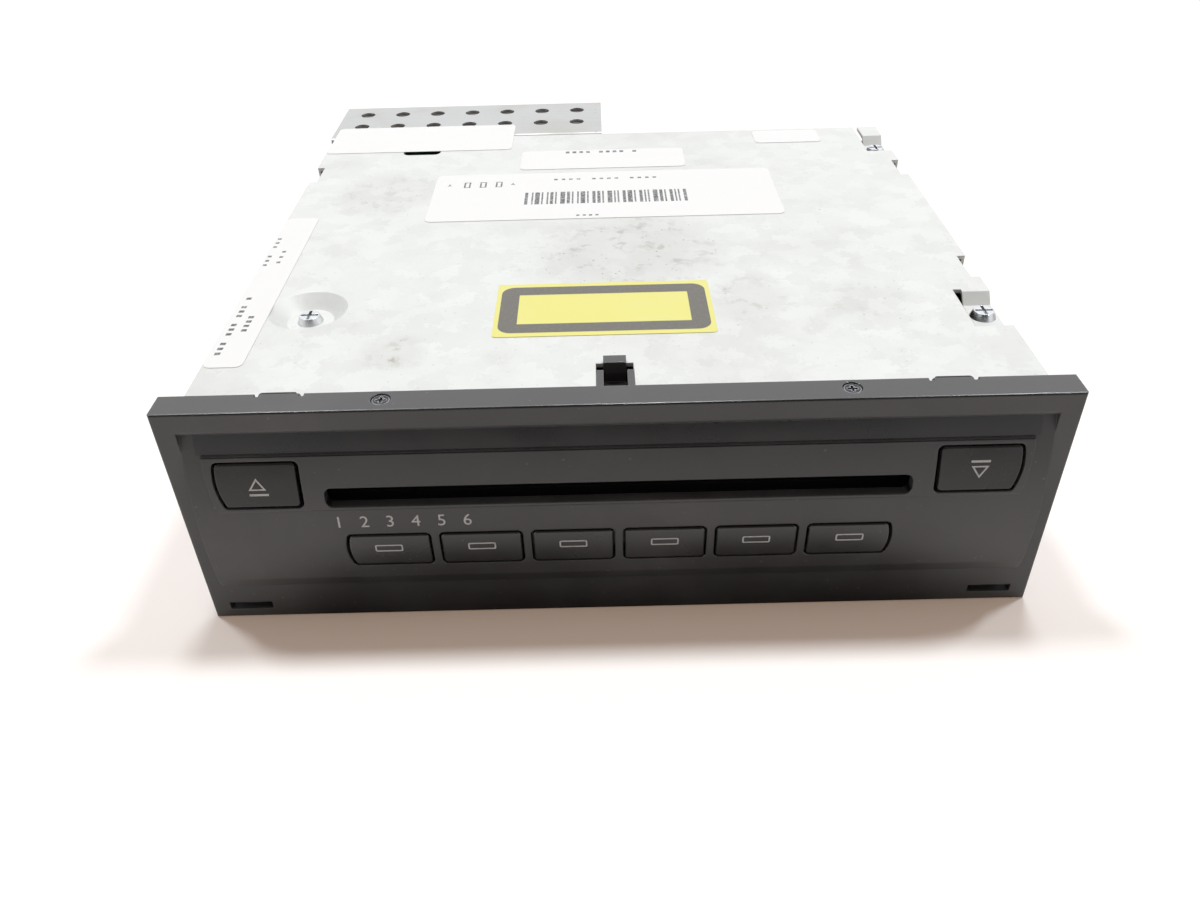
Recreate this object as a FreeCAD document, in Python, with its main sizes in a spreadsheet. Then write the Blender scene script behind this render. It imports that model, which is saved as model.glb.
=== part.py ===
import FreeCAD
import Part
import Sketcher

import math
import os
import re

Vector = FreeCAD.Vector
Rotation = FreeCAD.Rotation
Placement = FreeCAD.Placement

# Driving dimensions in millimetres. X runs to the right, Y to the rear, Z up. Lengths along Y are
# counted from the flat frame of the fascia, heights from the lower edge of the fascia.
SIZES = {
    # fascia
    "fascia_width": 188.0,
    "fascia_height": 57.0,
    "fascia_depth": 6.9,
    "fascia_wall": 2.4,
    "rim_wall": 2.0,
    "panel_margin": 4.5,
    "panel_low": 10.6,
    "panel_drop": 5.6,
    "lip_top": 14.2,
    "lip_low": 11.3,
    "lip_back": 1.1,
    "bulge_sink": 4.82,
    "bulge_lower": 5.5,
    "bulge_out": 3.5,
    "shell_wall": 1.8,
    "hollow_low": 13.6,
    "band_height": 12.9,
    "band_drop": 4.5,
    "band_inset": 8.4,
    "band_lean": 1.6,
    "band_proud": 0.6,
    "slot_width": 122.6,
    "slot_rise": 3.3,
    "slot_gap": 4.5,
    "slot_corner": 1.6,
    "key_length": 9.8,
    "key_inset": 4.0,
    "key_low": 2.6,
    "key_top": 4.6,
    "rim_screw_inset": 46.2,
    "rim_screw_line": 4.0,
    "rim_screw_radius": 1.1,
    "rim_head_radius": 1.85,
    "rim_head_gap": 0.2,
    "rim_head_sink": 0.7,
    "rim_cross": 1.05,
    "snap_inset": 25.0,
    "snap_half": 4.0,
    "snap_reach": 0.8,
    "snap_slope": 0.9,
    "snap_notch": 1.1,
    "snap_notch_deep": 1.0,
    "catch_half": 4.0,
    "catch_step": 0.1,
    "catch_leg": 1.5,
    "catch_leg_end": 13.2,
    "catch_leg_thick": 3.0,
    "hook_ramp_end": 9.9,
    "hook_ramp_drop": 2.0,
    "hook_drop": 5.1,
    "hook_floor": 1.6,
    "hook_post": 1.8,
    "hook_lip": 1.2,
    "hook_lip_thick": 1.25,
    "catch_notch": 22.0,
    # buttons
    "button_gap": 0.5,
    "inner_gap": 0.35,
    "button_proud": 0.2,
    "button_travel": 1.0,
    "button_corner": 1.3,
    "button_stem": 2.6,
    "stem_radius": 2.0,
    "flange_lap": 0.5,
    "flange_thick": 0.8,
    "disc_key_pitch": 19.75,
    "disc_key_width": 18.1,
    "disc_key_low": 18.2,
    "disc_key_top": 27.5,
    "disc_key_bow": 0.9,
    "side_key_gap": 4.4,
    "side_key_inset": 2.1,
    "side_key_lean": 1.1,
    "side_key_border": 1.1,
    "side_key_bow": 0.9,
    # keypad and switch board
    "mat_gap": 0.3,
    "mat_inset": 0.2,
    "mat_dome": 0.4,
    "mat_thick": 0.8,
    "board_thick": 1.6,
    "board_inset": 4.5,
    "board_low": 13.0,
    "board_drop": 2.9,
    "board_slot_gap": 2.3,
    "board_slot_drop": 3.9,
    # sheet metal case
    "case_inset": 2.45,
    "case_front": 8.4,
    "case_rear": 169.9,
    "case_low": 3.1,
    "case_drop": 3.9,
    "sheet": 1.0,
    "side_sheet": 0.8,
    "cover_fold": 12.0,
    "wall_clear": 0.1,
    "dimple_inset": 18.05,
    "dimple_line": 50.0,
    "dimple_radius": 9.5,
    "dimple_floor": 5.6,
    "dimple_depth": 3.1,
    "tab_width": 8.65,
    "tab_front": 34.2,
    "tab_length": 17.0,
    "tab_slope": 2.5,
    "tab_drop": 2.7,
    "tab_slit": 2.0,
    "tab_slit_extra": 1.0,
    "rear_tab_width": 7.75,
    "rear_tab_inset": 22.4,
    "rear_tab_length": 14.1,
    "rear_tab_slit": 1.6,
    "tab_screw_inset": 3.55,
    "tab_screw_reach": 9.3,
    "rear_screw_reach": 5.9,
    "relief_length": 11.8,
    "relief_deep": 2.2,
    "cover_hole_place": 59.9,
    "cover_hole_half": 6.0,
    "cover_hole_inset": 15.9,
    "cover_hole_length": 8.0,
    "cover_hole_corner": 2.0,
    "cover_screw_head": 3.1,
    "cover_screw_shank": 1.5,
    # perforated bracket behind the case
    "bracket_overhang": 1.35,
    "bracket_right": 0.9,
    "bracket_reach": 33.6,
    "bracket_low": 22.0,
    "bracket_bend": 1.5,
    "hole_pitch": 12.5,
    "hole_radius": 2.5,
    "hole_inset": 8.4,
    "hole_setback": 13.3,
    "bracket_screw_half": 30.0,
    "bracket_screw_level": 31.0,
    "hole_columns": 7.0,
    "side_hole_radius": 2.0,
    "side_hole_pitch": 62.0,
    "side_hole_line": 60.0,
    "side_hole_level": 27.0,
    # stickers
    "sticker": 0.15,
    # front frame and disc guide
    "frame_front": 7.2,
    "guide_gap": 2.4,
    "guide_end": 3.0,
    "guide_rear": 23.4,
    "guide_thick": 1.6,
    # loading roller and its gears
    "roller_line": 17.0,
    "roller_radius": 4.5,
    "roller_waist": 3.7,
    "roller_end": 4.0,
    "roller_shaft": 1.5,
    "disc_thick": 1.2,
    "bearing_clear": 0.05,
    "drive_inset": 19.85,
    "plate_thick": 1.5,
    "gear_inset": 16.85,
    "gear_width": 3.0,
    "gear_module": 0.8,
    "gear_backlash": 0.14,
    "roller_teeth": 16.0,
    "idler_teeth": 12.0,
    "pinion_teeth": 10.0,
    "motor_clear": 0.506,
    "train_steep": 0.985,
    "motor_radius": 6.5,
    "motor_length": 20.0,
    # disc trays and their lift
    "tray_pitch": 2.4,
    "tray_thick": 1.0,
    "tray_inset": 20.05,
    "tray_front": 24.2,
    "tray_rear": 144.0,
    "disc_line": 84.0,
    "disc_radius": 60.0,
    "tray_mouth": 17.0,
    "tray_seat": 0.3,
    "nut_half": 4.0,
    "screw_inset": 15.85,
    "screw_front": 40.0,
    "screw_rear": 112.0,
    "screw_radius": 2.2,
    "screw_root": 1.8,
    "screw_pitch": 2.0,
    "lift_screw_gap": 3.3,
    "pulley_radius": 6.0,
    "pulley_low": 7.0,
    "pulley_top": 9.5,
    "belt_thick": 0.9,
    "belt_clear": 0.2,
    "lift_motor_place": 20.0,
    "lift_motor_radius": 7.5,
    # mechanism base and its mounts
    "base_low": 5.2,
    "base_top": 6.4,
    "base_inset": 3.85,
    "base_front": 12.0,
    "base_setback": 5.9,
    "damper_radius": 5.0,
    # traverse arm with the pickup
    "pivot_inset": 13.55,
    "pivot_line": 150.0,
    "pivot_radius": 3.0,
    "hub_radius": 9.5,
    "arm_low": 13.0,
    "arm_top": 14.2,
    "arm_half": 13.0,
    "spindle_place": 24.2,
    "rod_radius": 1.2,
    "rod_offset": 10.5,
    "rod_level": 16.4,
    "rod_start": 50.0,
    "rod_end": 12.0,
    "sled_half": 8.0,
    "sled_inner": 2.2,
    "lens_radius": 3.0,
    "feed_offset": 15.5,
    "turntable_radius": 8.0,
    # rear electronics
    "main_board_setback": 4.1,
    "main_board_inset": 6.85,
    "main_board_low": 8.0,
    "main_board_gap": 3.1,
    "socket_depth": 13.0,
}

# Places that follow from the sizes above: half widths are measured from the middle plane.
PLACES = {
    "panel_width": "fascia_width - 2 * panel_margin",
    "panel_top": "fascia_height - panel_drop",
    "hollow_top": "panel_top - shell_wall",
    "bulge_level": "(panel_low + panel_top) / 2 - bulge_lower",
    "bulge_rise": "panel_top - bulge_level",
    "bulge_radius": "(bulge_rise ^ 2 + bulge_sink ^ 2) / (2 * bulge_sink)",
    "band_top": "panel_top - band_drop",
    "band_low": "band_top - band_height",
    "band_half": "fascia_width / 2 - band_inset",
    "slot_level": "band_low + slot_rise",
    "key_outer": "fascia_width / 2 - key_inset",
    "key_inner": "key_outer - key_length",
    "rim_screw_place": "fascia_width / 2 - rim_screw_inset",
    "snap_place": "fascia_width / 2 - snap_inset",
    "side_key_inner": "slot_width / 2 + side_key_gap",
    "side_key_outer": "band_half - side_key_inset",
    "side_key_foot": "side_key_outer - side_key_lean",
    "side_key_low": "band_low + side_key_border",
    "side_key_top": "band_top - side_key_border",
    "board_half": "panel_width / 2 - board_inset",
    "board_top": "panel_top - board_drop",
    "board_slot_half": "slot_width / 2 + board_slot_gap",
    "board_slot_low": "slot_level - board_slot_drop",
    "case_half": "fascia_width / 2 - case_inset",
    "case_top": "fascia_height - case_drop",
    "hook_low": "case_top - hook_drop",
    "dimple_place": "case_half - dimple_inset",
    "tab_inner": "case_half - tab_width",
    "rear_tab_inner": "case_half - rear_tab_width",
    "rear_tab_front": "case_rear - rear_tab_inset",
    "tab_screw_place": "case_half - tab_screw_inset",
    "tab_screw_line": "tab_front + tab_screw_reach",
    "rear_screw_line": "rear_tab_front + rear_screw_reach",
    "cover_hole_front": "case_rear - cover_hole_inset",
    "cover_hole_rear": "cover_hole_front + cover_hole_length",
    "bracket_left": "case_half + bracket_overhang",
    "bracket_middle": "-(bracket_left + bracket_right) / 2",
    "bracket_rear": "case_rear + bracket_reach",
    "hole_first": "bracket_left - hole_inset",
    "hole_line": "case_rear + hole_setback",
    "inner_half": "case_half - 2 * side_sheet - wall_clear",
    "drive_plate": "inner_half - drive_inset",
    "gear_plane": "inner_half - gear_inset",
    "roller_half": "drive_plate - roller_end",
    "guide_half": "drive_plate - guide_end",
    "tray_half": "inner_half - tray_inset",
    "screw_place": "inner_half - screw_inset",
    "lift_screw_top": "case_top - lift_screw_gap",
    "base_half": "inner_half - base_inset",
    "base_rear": "case_rear - base_setback",
    "pivot_place": "case_half - pivot_inset",
    "main_board_line": "case_rear - main_board_setback",
    "main_board_half": "inner_half - main_board_inset",
    "main_board_top": "case_top - main_board_gap",
}

doc = FreeCAD.newDocument("CdChanger")
sheet = doc.addObject("Spreadsheet::Sheet", "Sizes")
for row, (alias, size) in enumerate(SIZES.items(), start=1):
    sheet.set(f"A{row}", alias)
    sheet.set(f"B{row}", str(size))
    sheet.setAlias(f"B{row}", alias)
doc.recompute()

WORD = re.compile(r"\b[a-z][a-z_]+\b")
ROLES = {"XY": "XY_Plane", "XZ": "XZ_Plane", "YZ": "YZ_Plane"}
TURNS = {
    "x": Rotation(Vector(0, 1, 0), 90),
    "y": Rotation(Vector(1, 0, 0), -90),
    "z": Rotation(),
}
nodes = []


def bound(expression):
    """The expression with every place worked out and every alias pointing at the sheet."""
    def point(match):
        word = match.group(0)
        if word in PLACES:
            return "(" + bound(PLACES[word]) + ")"
        return "Sizes." + word if word in SIZES else word

    return WORD.sub(point, str(expression))


def tie(thing, prop, expression):
    """Bind one property of a document object to an expression of sheet values."""
    thing.setExpression(prop, bound(expression))


scratch = doc.addObject("App::VarSet", "Scratch")
scratch.addProperty("App::PropertyFloat", "value")


def number(expression):
    """The present value of an expression of sheet values."""
    tie(scratch, "value", expression)
    scratch.recompute()
    return scratch.value


# Shared expressions: the centre of the barrel shape of the front panel, and the shift that puts the
# row's origin under the middle of the whole object.
BULGE_CENTRE = "bulge_radius - bulge_out"
ROW_SHIFT = "-(bracket_rear - bulge_out - button_proud) / 2"
MAT_FRONT = "button_stem + button_travel + mat_gap"
BOARD_FRONT = "button_stem + button_travel + mat_gap + mat_dome + mat_thick"
ROLLER_LEVEL = "slot_level - disc_thick / 2 - roller_radius"
INNER_HALF = "inner_half"
TOP_TRAY = "slot_level - disc_thick / 2 - tray_thick - 0.1"


def box(name, x, y, z):
    """A box between the bounds x, y and z, each a pair of expressions."""
    solid = doc.addObject("Part::Box", name)
    for prop, axis, (low, high) in (("Length", "x", x), ("Width", "y", y), ("Height", "z", z)):
        tie(solid, prop, f"({high}) - ({low})")
        tie(solid, "Placement.Base." + axis, low)
    return solid


def rod(name, axis, start, radius, length):
    """A cylinder along one axis from the centre of its first face."""
    solid = doc.addObject("Part::Cylinder", name)
    solid.Placement = Placement(Vector(), TURNS[axis])
    tie(solid, "Radius", radius)
    tie(solid, "Height", length)
    for letter, place in zip("xyz", start):
        tie(solid, "Placement.Base." + letter, place)
    return solid


def cone(name, axis, start, radius, end_radius, length):
    """A cone frustum along one axis from the centre of its first face."""
    solid = doc.addObject("Part::Cone", name)
    solid.Placement = Placement(Vector(), TURNS[axis])
    tie(solid, "Radius1", radius)
    tie(solid, "Radius2", end_radius)
    tie(solid, "Height", length)
    for letter, place in zip("xyz", start):
        tie(solid, "Placement.Base." + letter, place)
    return solid


def fuse(name, solids):
    """One solid out of several."""
    whole = doc.addObject("Part::MultiFuse", name)
    whole.Shapes = solids
    whole.Refine = True
    return whole


def cut(name, base, tools):
    """The base with every tool taken away."""
    result = doc.addObject("Part::Cut", name)
    result.Base = base
    if len(tools) == 1:
        result.Tool = tools[0]
    else:
        gang = doc.addObject("Part::MultiFuse", name + "_tools")
        gang.Shapes = tools
        result.Tool = gang
    result.Refine = True
    return result


def group(name, solids):
    """Several equal pieces kept as one node."""
    whole = doc.addObject("Part::Compound", name)
    whole.Links = solids
    return whole


def node(thing, label):
    """Name a finished sub-part and put it in the row frame. A lone primitive or shape keeps its own
    place inside a compound."""
    if thing.TypeId in ("Part::Box", "Part::Cylinder", "Part::Feature"):
        thing.Label = label + "_shape"
        thing = group(label + "_whole", [thing])
    thing.Label = label
    tie(thing, "Placement.Base.y", ROW_SHIFT)
    nodes.append(thing)
    return thing


def new_body(name):
    return doc.addObject("PartDesign::Body", name)


def plane_of(body, plane):
    """The origin plane of a body by its role."""
    return [item for item in body.Origin.OriginFeatures if item.Role == ROLES[plane]][0]


def new_sketch(body, name, plane, offset="0"):
    """An empty sketch on an origin plane of the body, moved along the plane's normal."""
    sketch = body.newObject("Sketcher::SketchObject", name)
    sketch.AttachmentSupport = [(plane_of(body, plane), "")]
    sketch.MapMode = "FlatFace"
    if offset != "0":
        tie(sketch, "AttachmentOffset.Base.z", offset)
    return sketch


def fix(sketch, edge, vertex, place, tag):
    """Hold one vertex of an edge at a place given as two expressions."""
    for kind, expression, letter in (("DistanceX", place[0], "u"), ("DistanceY", place[1], "v")):
        index = sketch.addConstraint(
            Sketcher.Constraint(kind, -1, 1, edge, vertex, number(expression))
        )
        sketch.renameConstraint(index, tag + letter)
        tie(sketch, "Constraints." + tag + letter, expression)


def outline(sketch, points, tag="p", bows=None):
    """A closed outline through points given as expressions. Edges named in bows are arcs of that
    radius, and a positive radius bows to the left of the way the outline runs."""
    bows = bows or {}
    places = [Vector(number(u), number(v), 0) for u, v in points]
    first = sketch.GeometryCount
    count = len(points)
    flipped = {}
    for i in range(count):
        start, end = places[i], places[(i + 1) % count]
        if i in bows:
            radius, side = bows[i]
            size = number(radius)
            chord = end.sub(start)
            middle = start.add(end).multiply(0.5)
            normal = Vector(-chord.y, chord.x, 0).normalize().multiply(side)
            reach = math.sqrt(size * size - chord.Length**2 / 4)
            centre = middle.sub(Vector(normal).multiply(reach))
            # a sketch holds its arcs anticlockwise, so one that bows to the left runs end to start
            flipped[i] = side > 0
            first_end, last_end = (end, start) if flipped[i] else (start, end)
            turn_from = math.atan2(first_end.y - centre.y, first_end.x - centre.x)
            turn_to = math.atan2(last_end.y - centre.y, last_end.x - centre.x)
            if turn_to < turn_from:
                turn_to += 2 * math.pi
            ring = Part.Circle(centre, Vector(0, 0, 1), size)
            sketch.addGeometry(Part.ArcOfCircle(ring, turn_from, turn_to))
        else:
            sketch.addGeometry(Part.LineSegment(start, end))
            flipped[i] = False
    for i in range(count):
        following = (i + 1) % count
        sketch.addConstraint(
            Sketcher.Constraint(
                "Coincident",
                first + i,
                1 if flipped[i] else 2,
                first + following,
                2 if flipped[following] else 1,
            )
        )
    for i in range(count):
        fix(sketch, first + i, 2 if flipped[i] else 1, points[i], f"{tag}{i}")
        if i in bows:
            index = sketch.addConstraint(
                Sketcher.Constraint("Radius", first + i, number(bows[i][0]))
            )
            sketch.renameConstraint(index, f"{tag}{i}r")
            tie(sketch, f"Constraints.{tag}{i}r", bows[i][0])


def rectangle(sketch, u, v, tag="p"):
    """A closed rectangle between two pairs of expressions."""
    outline(sketch, [(u[0], v[0]), (u[1], v[0]), (u[1], v[1]), (u[0], v[1])], tag)


def circle(sketch, centre, radius, tag="c"):
    """A circle with its centre and radius bound."""
    index = sketch.addGeometry(
        Part.Circle(
            Vector(number(centre[0]), number(centre[1]), 0), Vector(0, 0, 1), number(radius)
        )
    )
    fix(sketch, index, 3, centre, tag)
    rule = sketch.addConstraint(Sketcher.Constraint("Radius", index, number(radius)))
    sketch.renameConstraint(rule, tag + "r")
    tie(sketch, "Constraints." + tag + "r", radius)


def pad(body, sketch, length, reverse=False, middle=False):
    """Grow a sketch. On the XZ plane the normal points to the front."""
    feature = body.newObject("PartDesign::Pad", sketch.Name + "_pad")
    feature.Profile = sketch
    tie(feature, "Length", length)
    feature.Reversed = reverse
    if middle:
        feature.SideType = "Symmetric"
    return feature


def pocket(body, sketch, length, reverse=False, middle=False):
    """Cut a sketch away. On the XZ plane it runs to the rear."""
    feature = body.newObject("PartDesign::Pocket", sketch.Name + "_pocket")
    feature.Profile = sketch
    tie(feature, "Length", length)
    feature.Reversed = reverse
    if middle:
        feature.SideType = "Symmetric"
    return feature


def round_edges(body, edges, radius):
    """Round the named edges of the newest feature."""
    base = body.Tip
    feature = body.newObject("PartDesign::Fillet", body.Name + f"_round{len(body.Group)}")
    feature.Base = (base, edges)
    tie(feature, "Radius", radius)
    return feature


def edges_where(shape, test):
    """Names of the edges whose two ends pass a test."""
    names = []
    for index, edge in enumerate(shape.Edges, start=1):
        ends = [vertex.Point for vertex in edge.Vertexes]
        if len(ends) == 2 and test(ends[0], ends[1]):
            names.append(f"Edge{index}")
    return names


def along_y(a, b):
    return abs(a.x - b.x) < 1e-4 and abs(a.z - b.z) < 1e-4 and abs(a.y - b.y) > 0.2


def barrel_trim(body, name, growth, low, high, reach="20", width="2 * fascia_width"):
    """Cut everything in front of the barrel surface grown by an amount, between two heights."""
    radius = f"bulge_radius + ({growth})"
    centre = BULGE_CENTRE

    def front(level):
        return f"({centre}) - sqrt(({radius}) ^ 2 - (({level}) - bulge_level) ^ 2)"

    sketch = new_sketch(body, name, "YZ")
    points = [(f"-({reach})", low), (front(low), low), (front(high), high), (f"-({reach})", high)]
    outline(sketch, points, "b", {1: (radius, 1)})
    return pocket(body, sketch, width, middle=True)


def key_outline(sketch, spot, grow, tag):
    """Outline of a button or of its opening, one side bowed where the piece is an end one."""
    inner, outer, foot, low, high, bow, mirror = spot
    sign = -1 if mirror else 1
    if bow is None:
        left = f"({inner}) - ({grow})"
        right = f"({outer}) + ({grow})"
        rectangle(sketch, (left, right), (f"{low} - ({grow})", f"{high} + ({grow})"), tag)
        return
    inner_side = f"{sign} * (({inner}) - ({grow}))"
    outer_side = f"{sign} * (({outer}) + ({grow}))"
    foot_side = f"{sign} * (({foot}) + ({grow}))"
    low_side = f"{low} - ({grow})"
    high_side = f"{high} + ({grow})"
    radius = f"(({high}) - ({low})) ^ 2 / (8 * ({bow}))"
    points = [
        (inner_side, low_side),
        (foot_side, low_side),
        (outer_side, high_side),
        (inner_side, high_side),
    ]
    outline(sketch, points, tag, {1: (radius, 1 if mirror else -1)})


def key_spots():
    """Inner side, outer side, foot, low, high, bow and mirror of every button."""
    spots = {}
    side = ("side_key_inner", "side_key_outer", "side_key_foot", "side_key_low", "side_key_top")
    spots["eject_button"] = side + ("side_key_bow", True)
    spots["load_button"] = side + ("side_key_bow", False)
    for i in range(6):
        middle = f"{i - 2.5} * disc_key_pitch"
        low, high = "disc_key_low", "disc_key_top"
        if i in (0, 5):
            inner = "2.5 * disc_key_pitch - disc_key_width / 2"
            outer = "2.5 * disc_key_pitch + disc_key_width / 2 - 0.3"
            foot = "2.5 * disc_key_pitch + disc_key_width / 2 - 0.5"
            spots[f"disc_button_{i + 1}"] = (inner, outer, foot, low, high, "disc_key_bow", i == 0)
        else:
            inner = f"{middle} - disc_key_width / 2"
            outer = f"{middle} + disc_key_width / 2"
            spots[f"disc_button_{i + 1}"] = (inner, outer, outer, low, high, None, False)
    return spots


KEYS = key_spots()


def build_fascia():
    """Moulded front with a barrel shaped panel, a raised band round the slot and a rim."""
    body = new_body("fascia")
    half = "fascia_width / 2"
    rim = new_sketch(body, "rim", "XZ")
    rectangle(rim, (f"-({half})", half), ("0", "fascia_height"))
    pad(body, rim, "fascia_depth", reverse=True)

    hollow = new_sketch(body, "rim_hollow", "XZ", "-fascia_wall")
    inner = "fascia_width / 2 - rim_wall"
    rectangle(hollow, (f"-({inner})", inner), ("rim_wall", "fascia_height - rim_wall"))
    pocket(body, hollow, "fascia_depth")

    window = new_sketch(body, "window", "XZ")
    rectangle(window, ("-panel_width / 2", "panel_width / 2"), ("panel_low", "panel_top"))
    pocket(body, window, "fascia_wall")
    doc.recompute()
    high = number("panel_top")
    top_edge = edges_where(
        body.Tip.Shape,
        lambda a, b: abs(a.z - high) + abs(b.z - high) < 1e-4 and abs(a.y) + abs(b.y) < 1e-4,
    )
    round_edges(body, top_edge, "lip_back + 0.3")

    centre = BULGE_CENTRE

    def front(level, growth="0"):
        radius = f"(bulge_radius + ({growth}))"
        return f"({centre}) - sqrt({radius} ^ 2 - (({level}) - bulge_level) ^ 2)"

    panel = new_sketch(body, "panel", "YZ")
    points = [
        ("fascia_wall", "panel_low"),
        ("0", "panel_low"),
        (f"({front('lip_top')}) + lip_back", "lip_low"),
        (front("lip_top"), "lip_top"),
        (front("panel_top"), "panel_top"),
        ("fascia_wall", "panel_top"),
    ]
    outline(panel, points, "p", {3: ("bulge_radius", 1)})
    pad(body, panel, "panel_width", middle=True)

    band = new_sketch(body, "band", "XZ", "-1")
    points = [
        ("-(band_half - band_lean)", "band_low"),
        ("band_half - band_lean", "band_low"),
        ("band_half", "band_top"),
        ("-band_half", "band_top"),
    ]
    outline(band, points, "p", {1: ("40", -1), 3: ("40", -1)})
    pad(body, band, "8")
    barrel_trim(body, "band_trim", "band_proud", "band_low - 1", "band_top + 1", width="panel_width")

    inside = new_sketch(body, "panel_hollow", "YZ")
    points = [
        ("fascia_wall + 1", "hollow_low"),
        (front("hollow_low", "-shell_wall"), "hollow_low"),
        (front("hollow_top", "-shell_wall"), "hollow_top"),
        ("fascia_wall + 1", "hollow_top"),
    ]
    outline(inside, points, "p", {1: ("bulge_radius - shell_wall", 1)})
    pocket(body, inside, "panel_width - 2 * shell_wall", middle=True)

    doc.recompute()
    band_low, band_top = number("band_low"), number("band_top")
    rounded = edges_where(
        body.Tip.Shape,
        lambda a, b: min(abs(a.z - level) + abs(b.z - level) for level in (band_low, band_top))
        < 1e-4
        and abs(a.y - b.y) < 1e-4
        and a.y < 0.2
        and abs(a.x) < number("band_half") + 1e-3
        and abs(a.x - b.x) > number("slot_width / 2")
        and a.y < panel_surface(a.z) - 0.2,
    )
    round_edges(body, rounded, "band_proud * 0.8")

    slot = new_sketch(body, "slot", "XZ", "10")
    rectangle(
        slot,
        ("-slot_width / 2", "slot_width / 2"),
        ("slot_level - slot_gap / 2", "slot_level + slot_gap / 2"),
    )
    pocket(body, slot, "20")
    for name, spot in KEYS.items():
        opening = new_sketch(body, name + "_opening", "XZ", "10")
        key_outline(opening, spot, "0", "k")
        pocket(body, opening, "20")
    doc.recompute()
    panel_low, panel_top = number("lip_top"), number("panel_top")
    slot_end, slot_level = number("slot_width / 2"), number("slot_level")

    def at_slot_end(a):
        return abs(abs(a.x) - slot_end) < 0.01 and abs(a.z - slot_level) < number("slot_gap")

    corners = edges_where(
        body.Tip.Shape,
        lambda a, b: along_y(a, b)
        and panel_low < a.z < panel_top
        and abs(a.x) < number("band_half") - 1
        and max(a.y, b.y) < SIZES["fascia_wall"] - 0.05
        and not at_slot_end(a),
    )
    round_edges(body, corners, "button_corner")
    doc.recompute()
    ends = edges_where(
        body.Tip.Shape,
        lambda a, b: along_y(a, b) and at_slot_end(a),
    )
    round_edges(body, ends, "slot_corner")

    keys = new_sketch(body, "key_slots", "XZ", "1")
    rectangle(keys, ("-key_outer", "-key_inner"), ("key_low", "key_top"), "l")
    rectangle(keys, ("key_inner", "key_outer"), ("key_low", "key_top"), "r")
    pocket(body, keys, "fascia_wall + 2")

    holes = new_sketch(body, "rim_holes", "XY", "fascia_height")
    heads = new_sketch(body, "rim_sinks", "XY", "fascia_height")
    for i, side in enumerate(("-", "")):
        circle(holes, (f"{side}rim_screw_place", "rim_screw_line"), "rim_screw_radius + 0.1", f"c{i}")
        circle(heads, (f"{side}rim_screw_place", "rim_screw_line"), "rim_head_radius + rim_head_gap", f"c{i}")
    pocket(body, holes, "rim_wall + 1")
    pocket(body, heads, "rim_head_sink")

    notches = new_sketch(body, "snap_notches", "XY", "fascia_height + 1")
    for i, side in enumerate((-1, 1)):
        tab = new_sketch(body, f"snap_tab_{i}", "YZ", f"{side} * snap_place - snap_half")
        low = "fascia_height - rim_wall"
        points = [
            ("fascia_depth - 0.5", low),
            ("fascia_depth + snap_reach", low),
            ("fascia_depth + snap_reach", "fascia_height - snap_slope"),
            ("fascia_depth", "fascia_height"),
            ("fascia_depth - 0.5", "fascia_height"),
        ]
        outline(tab, points)
        pad(body, tab, "2 * snap_half")
        for j, end in enumerate((-1, 1)):
            near = f"{side} * snap_place + {end} * (snap_half + snap_notch / 2)"
            reach = (f"{near} - snap_notch / 2", f"{near} + snap_notch / 2")
            rectangle(notches, reach, ("fascia_depth - snap_notch_deep", "fascia_depth + 1"), f"n{i}{j}")
    pocket(body, notches, "rim_wall + 2")

    legs = new_sketch(body, "catch_legs", "XY", "fascia_height - catch_step")
    for i, side in enumerate((-1, 1)):
        middle = f"{side} * (catch_half - catch_leg / 2)"
        span = (f"{middle} - catch_leg / 2", f"{middle} + catch_leg / 2")
        rectangle(legs, span, ("fascia_depth - 1", "catch_leg_end"), f"g{i}")
    pad(body, legs, "catch_leg_thick", reverse=True)
    hook = new_sketch(body, "catch_hook", "YZ")
    lip_low = "case_top + 0.15"
    lip_top = "case_top + 0.15 + hook_lip_thick"
    points = [
        ("fascia_depth - 1.9", "hook_low"),
        ("catch_notch - 0.2", "hook_low"),
        ("catch_notch - 0.2", lip_low),
        ("catch_notch - 0.2 + hook_lip", lip_low),
        ("catch_notch - 0.2 + hook_lip", lip_top),
        ("catch_notch - 0.2 - hook_post", lip_top),
        ("catch_notch - 0.2 - hook_post", "hook_low + hook_floor"),
        ("hook_ramp_end", "hook_low + hook_floor"),
        ("hook_ramp_end", "fascia_height - hook_ramp_drop"),
        ("fascia_depth", "fascia_height - catch_step"),
        ("fascia_depth - 1.9", "fascia_height - catch_step"),
    ]
    outline(hook, points)
    pad(body, hook, "2 * (catch_half - catch_leg)", middle=True)

    doc.recompute()
    width, height = SIZES["fascia_width"] / 2, SIZES["fascia_height"]
    front_edges = edges_where(
        body.Tip.Shape,
        lambda a, b: abs(a.y) + abs(b.y) < 1e-4
        and (
            abs(a.z - height) + abs(b.z - height) < 1e-4
            or abs(a.z) + abs(b.z) < 1e-4
            or (abs(abs(a.x) - width) < 1e-4 and abs(abs(b.x) - width) < 1e-4)
        ),
    )
    round_edges(body, front_edges, "0.5")
    node(body, "fascia")


def panel_surface(level):
    """Y of the barrel shaped panel at a height."""
    radius = number("bulge_radius")
    rise = level - number("bulge_level")
    return radius - SIZES["bulge_out"] - math.sqrt(radius * radius - rise * rise)


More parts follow.
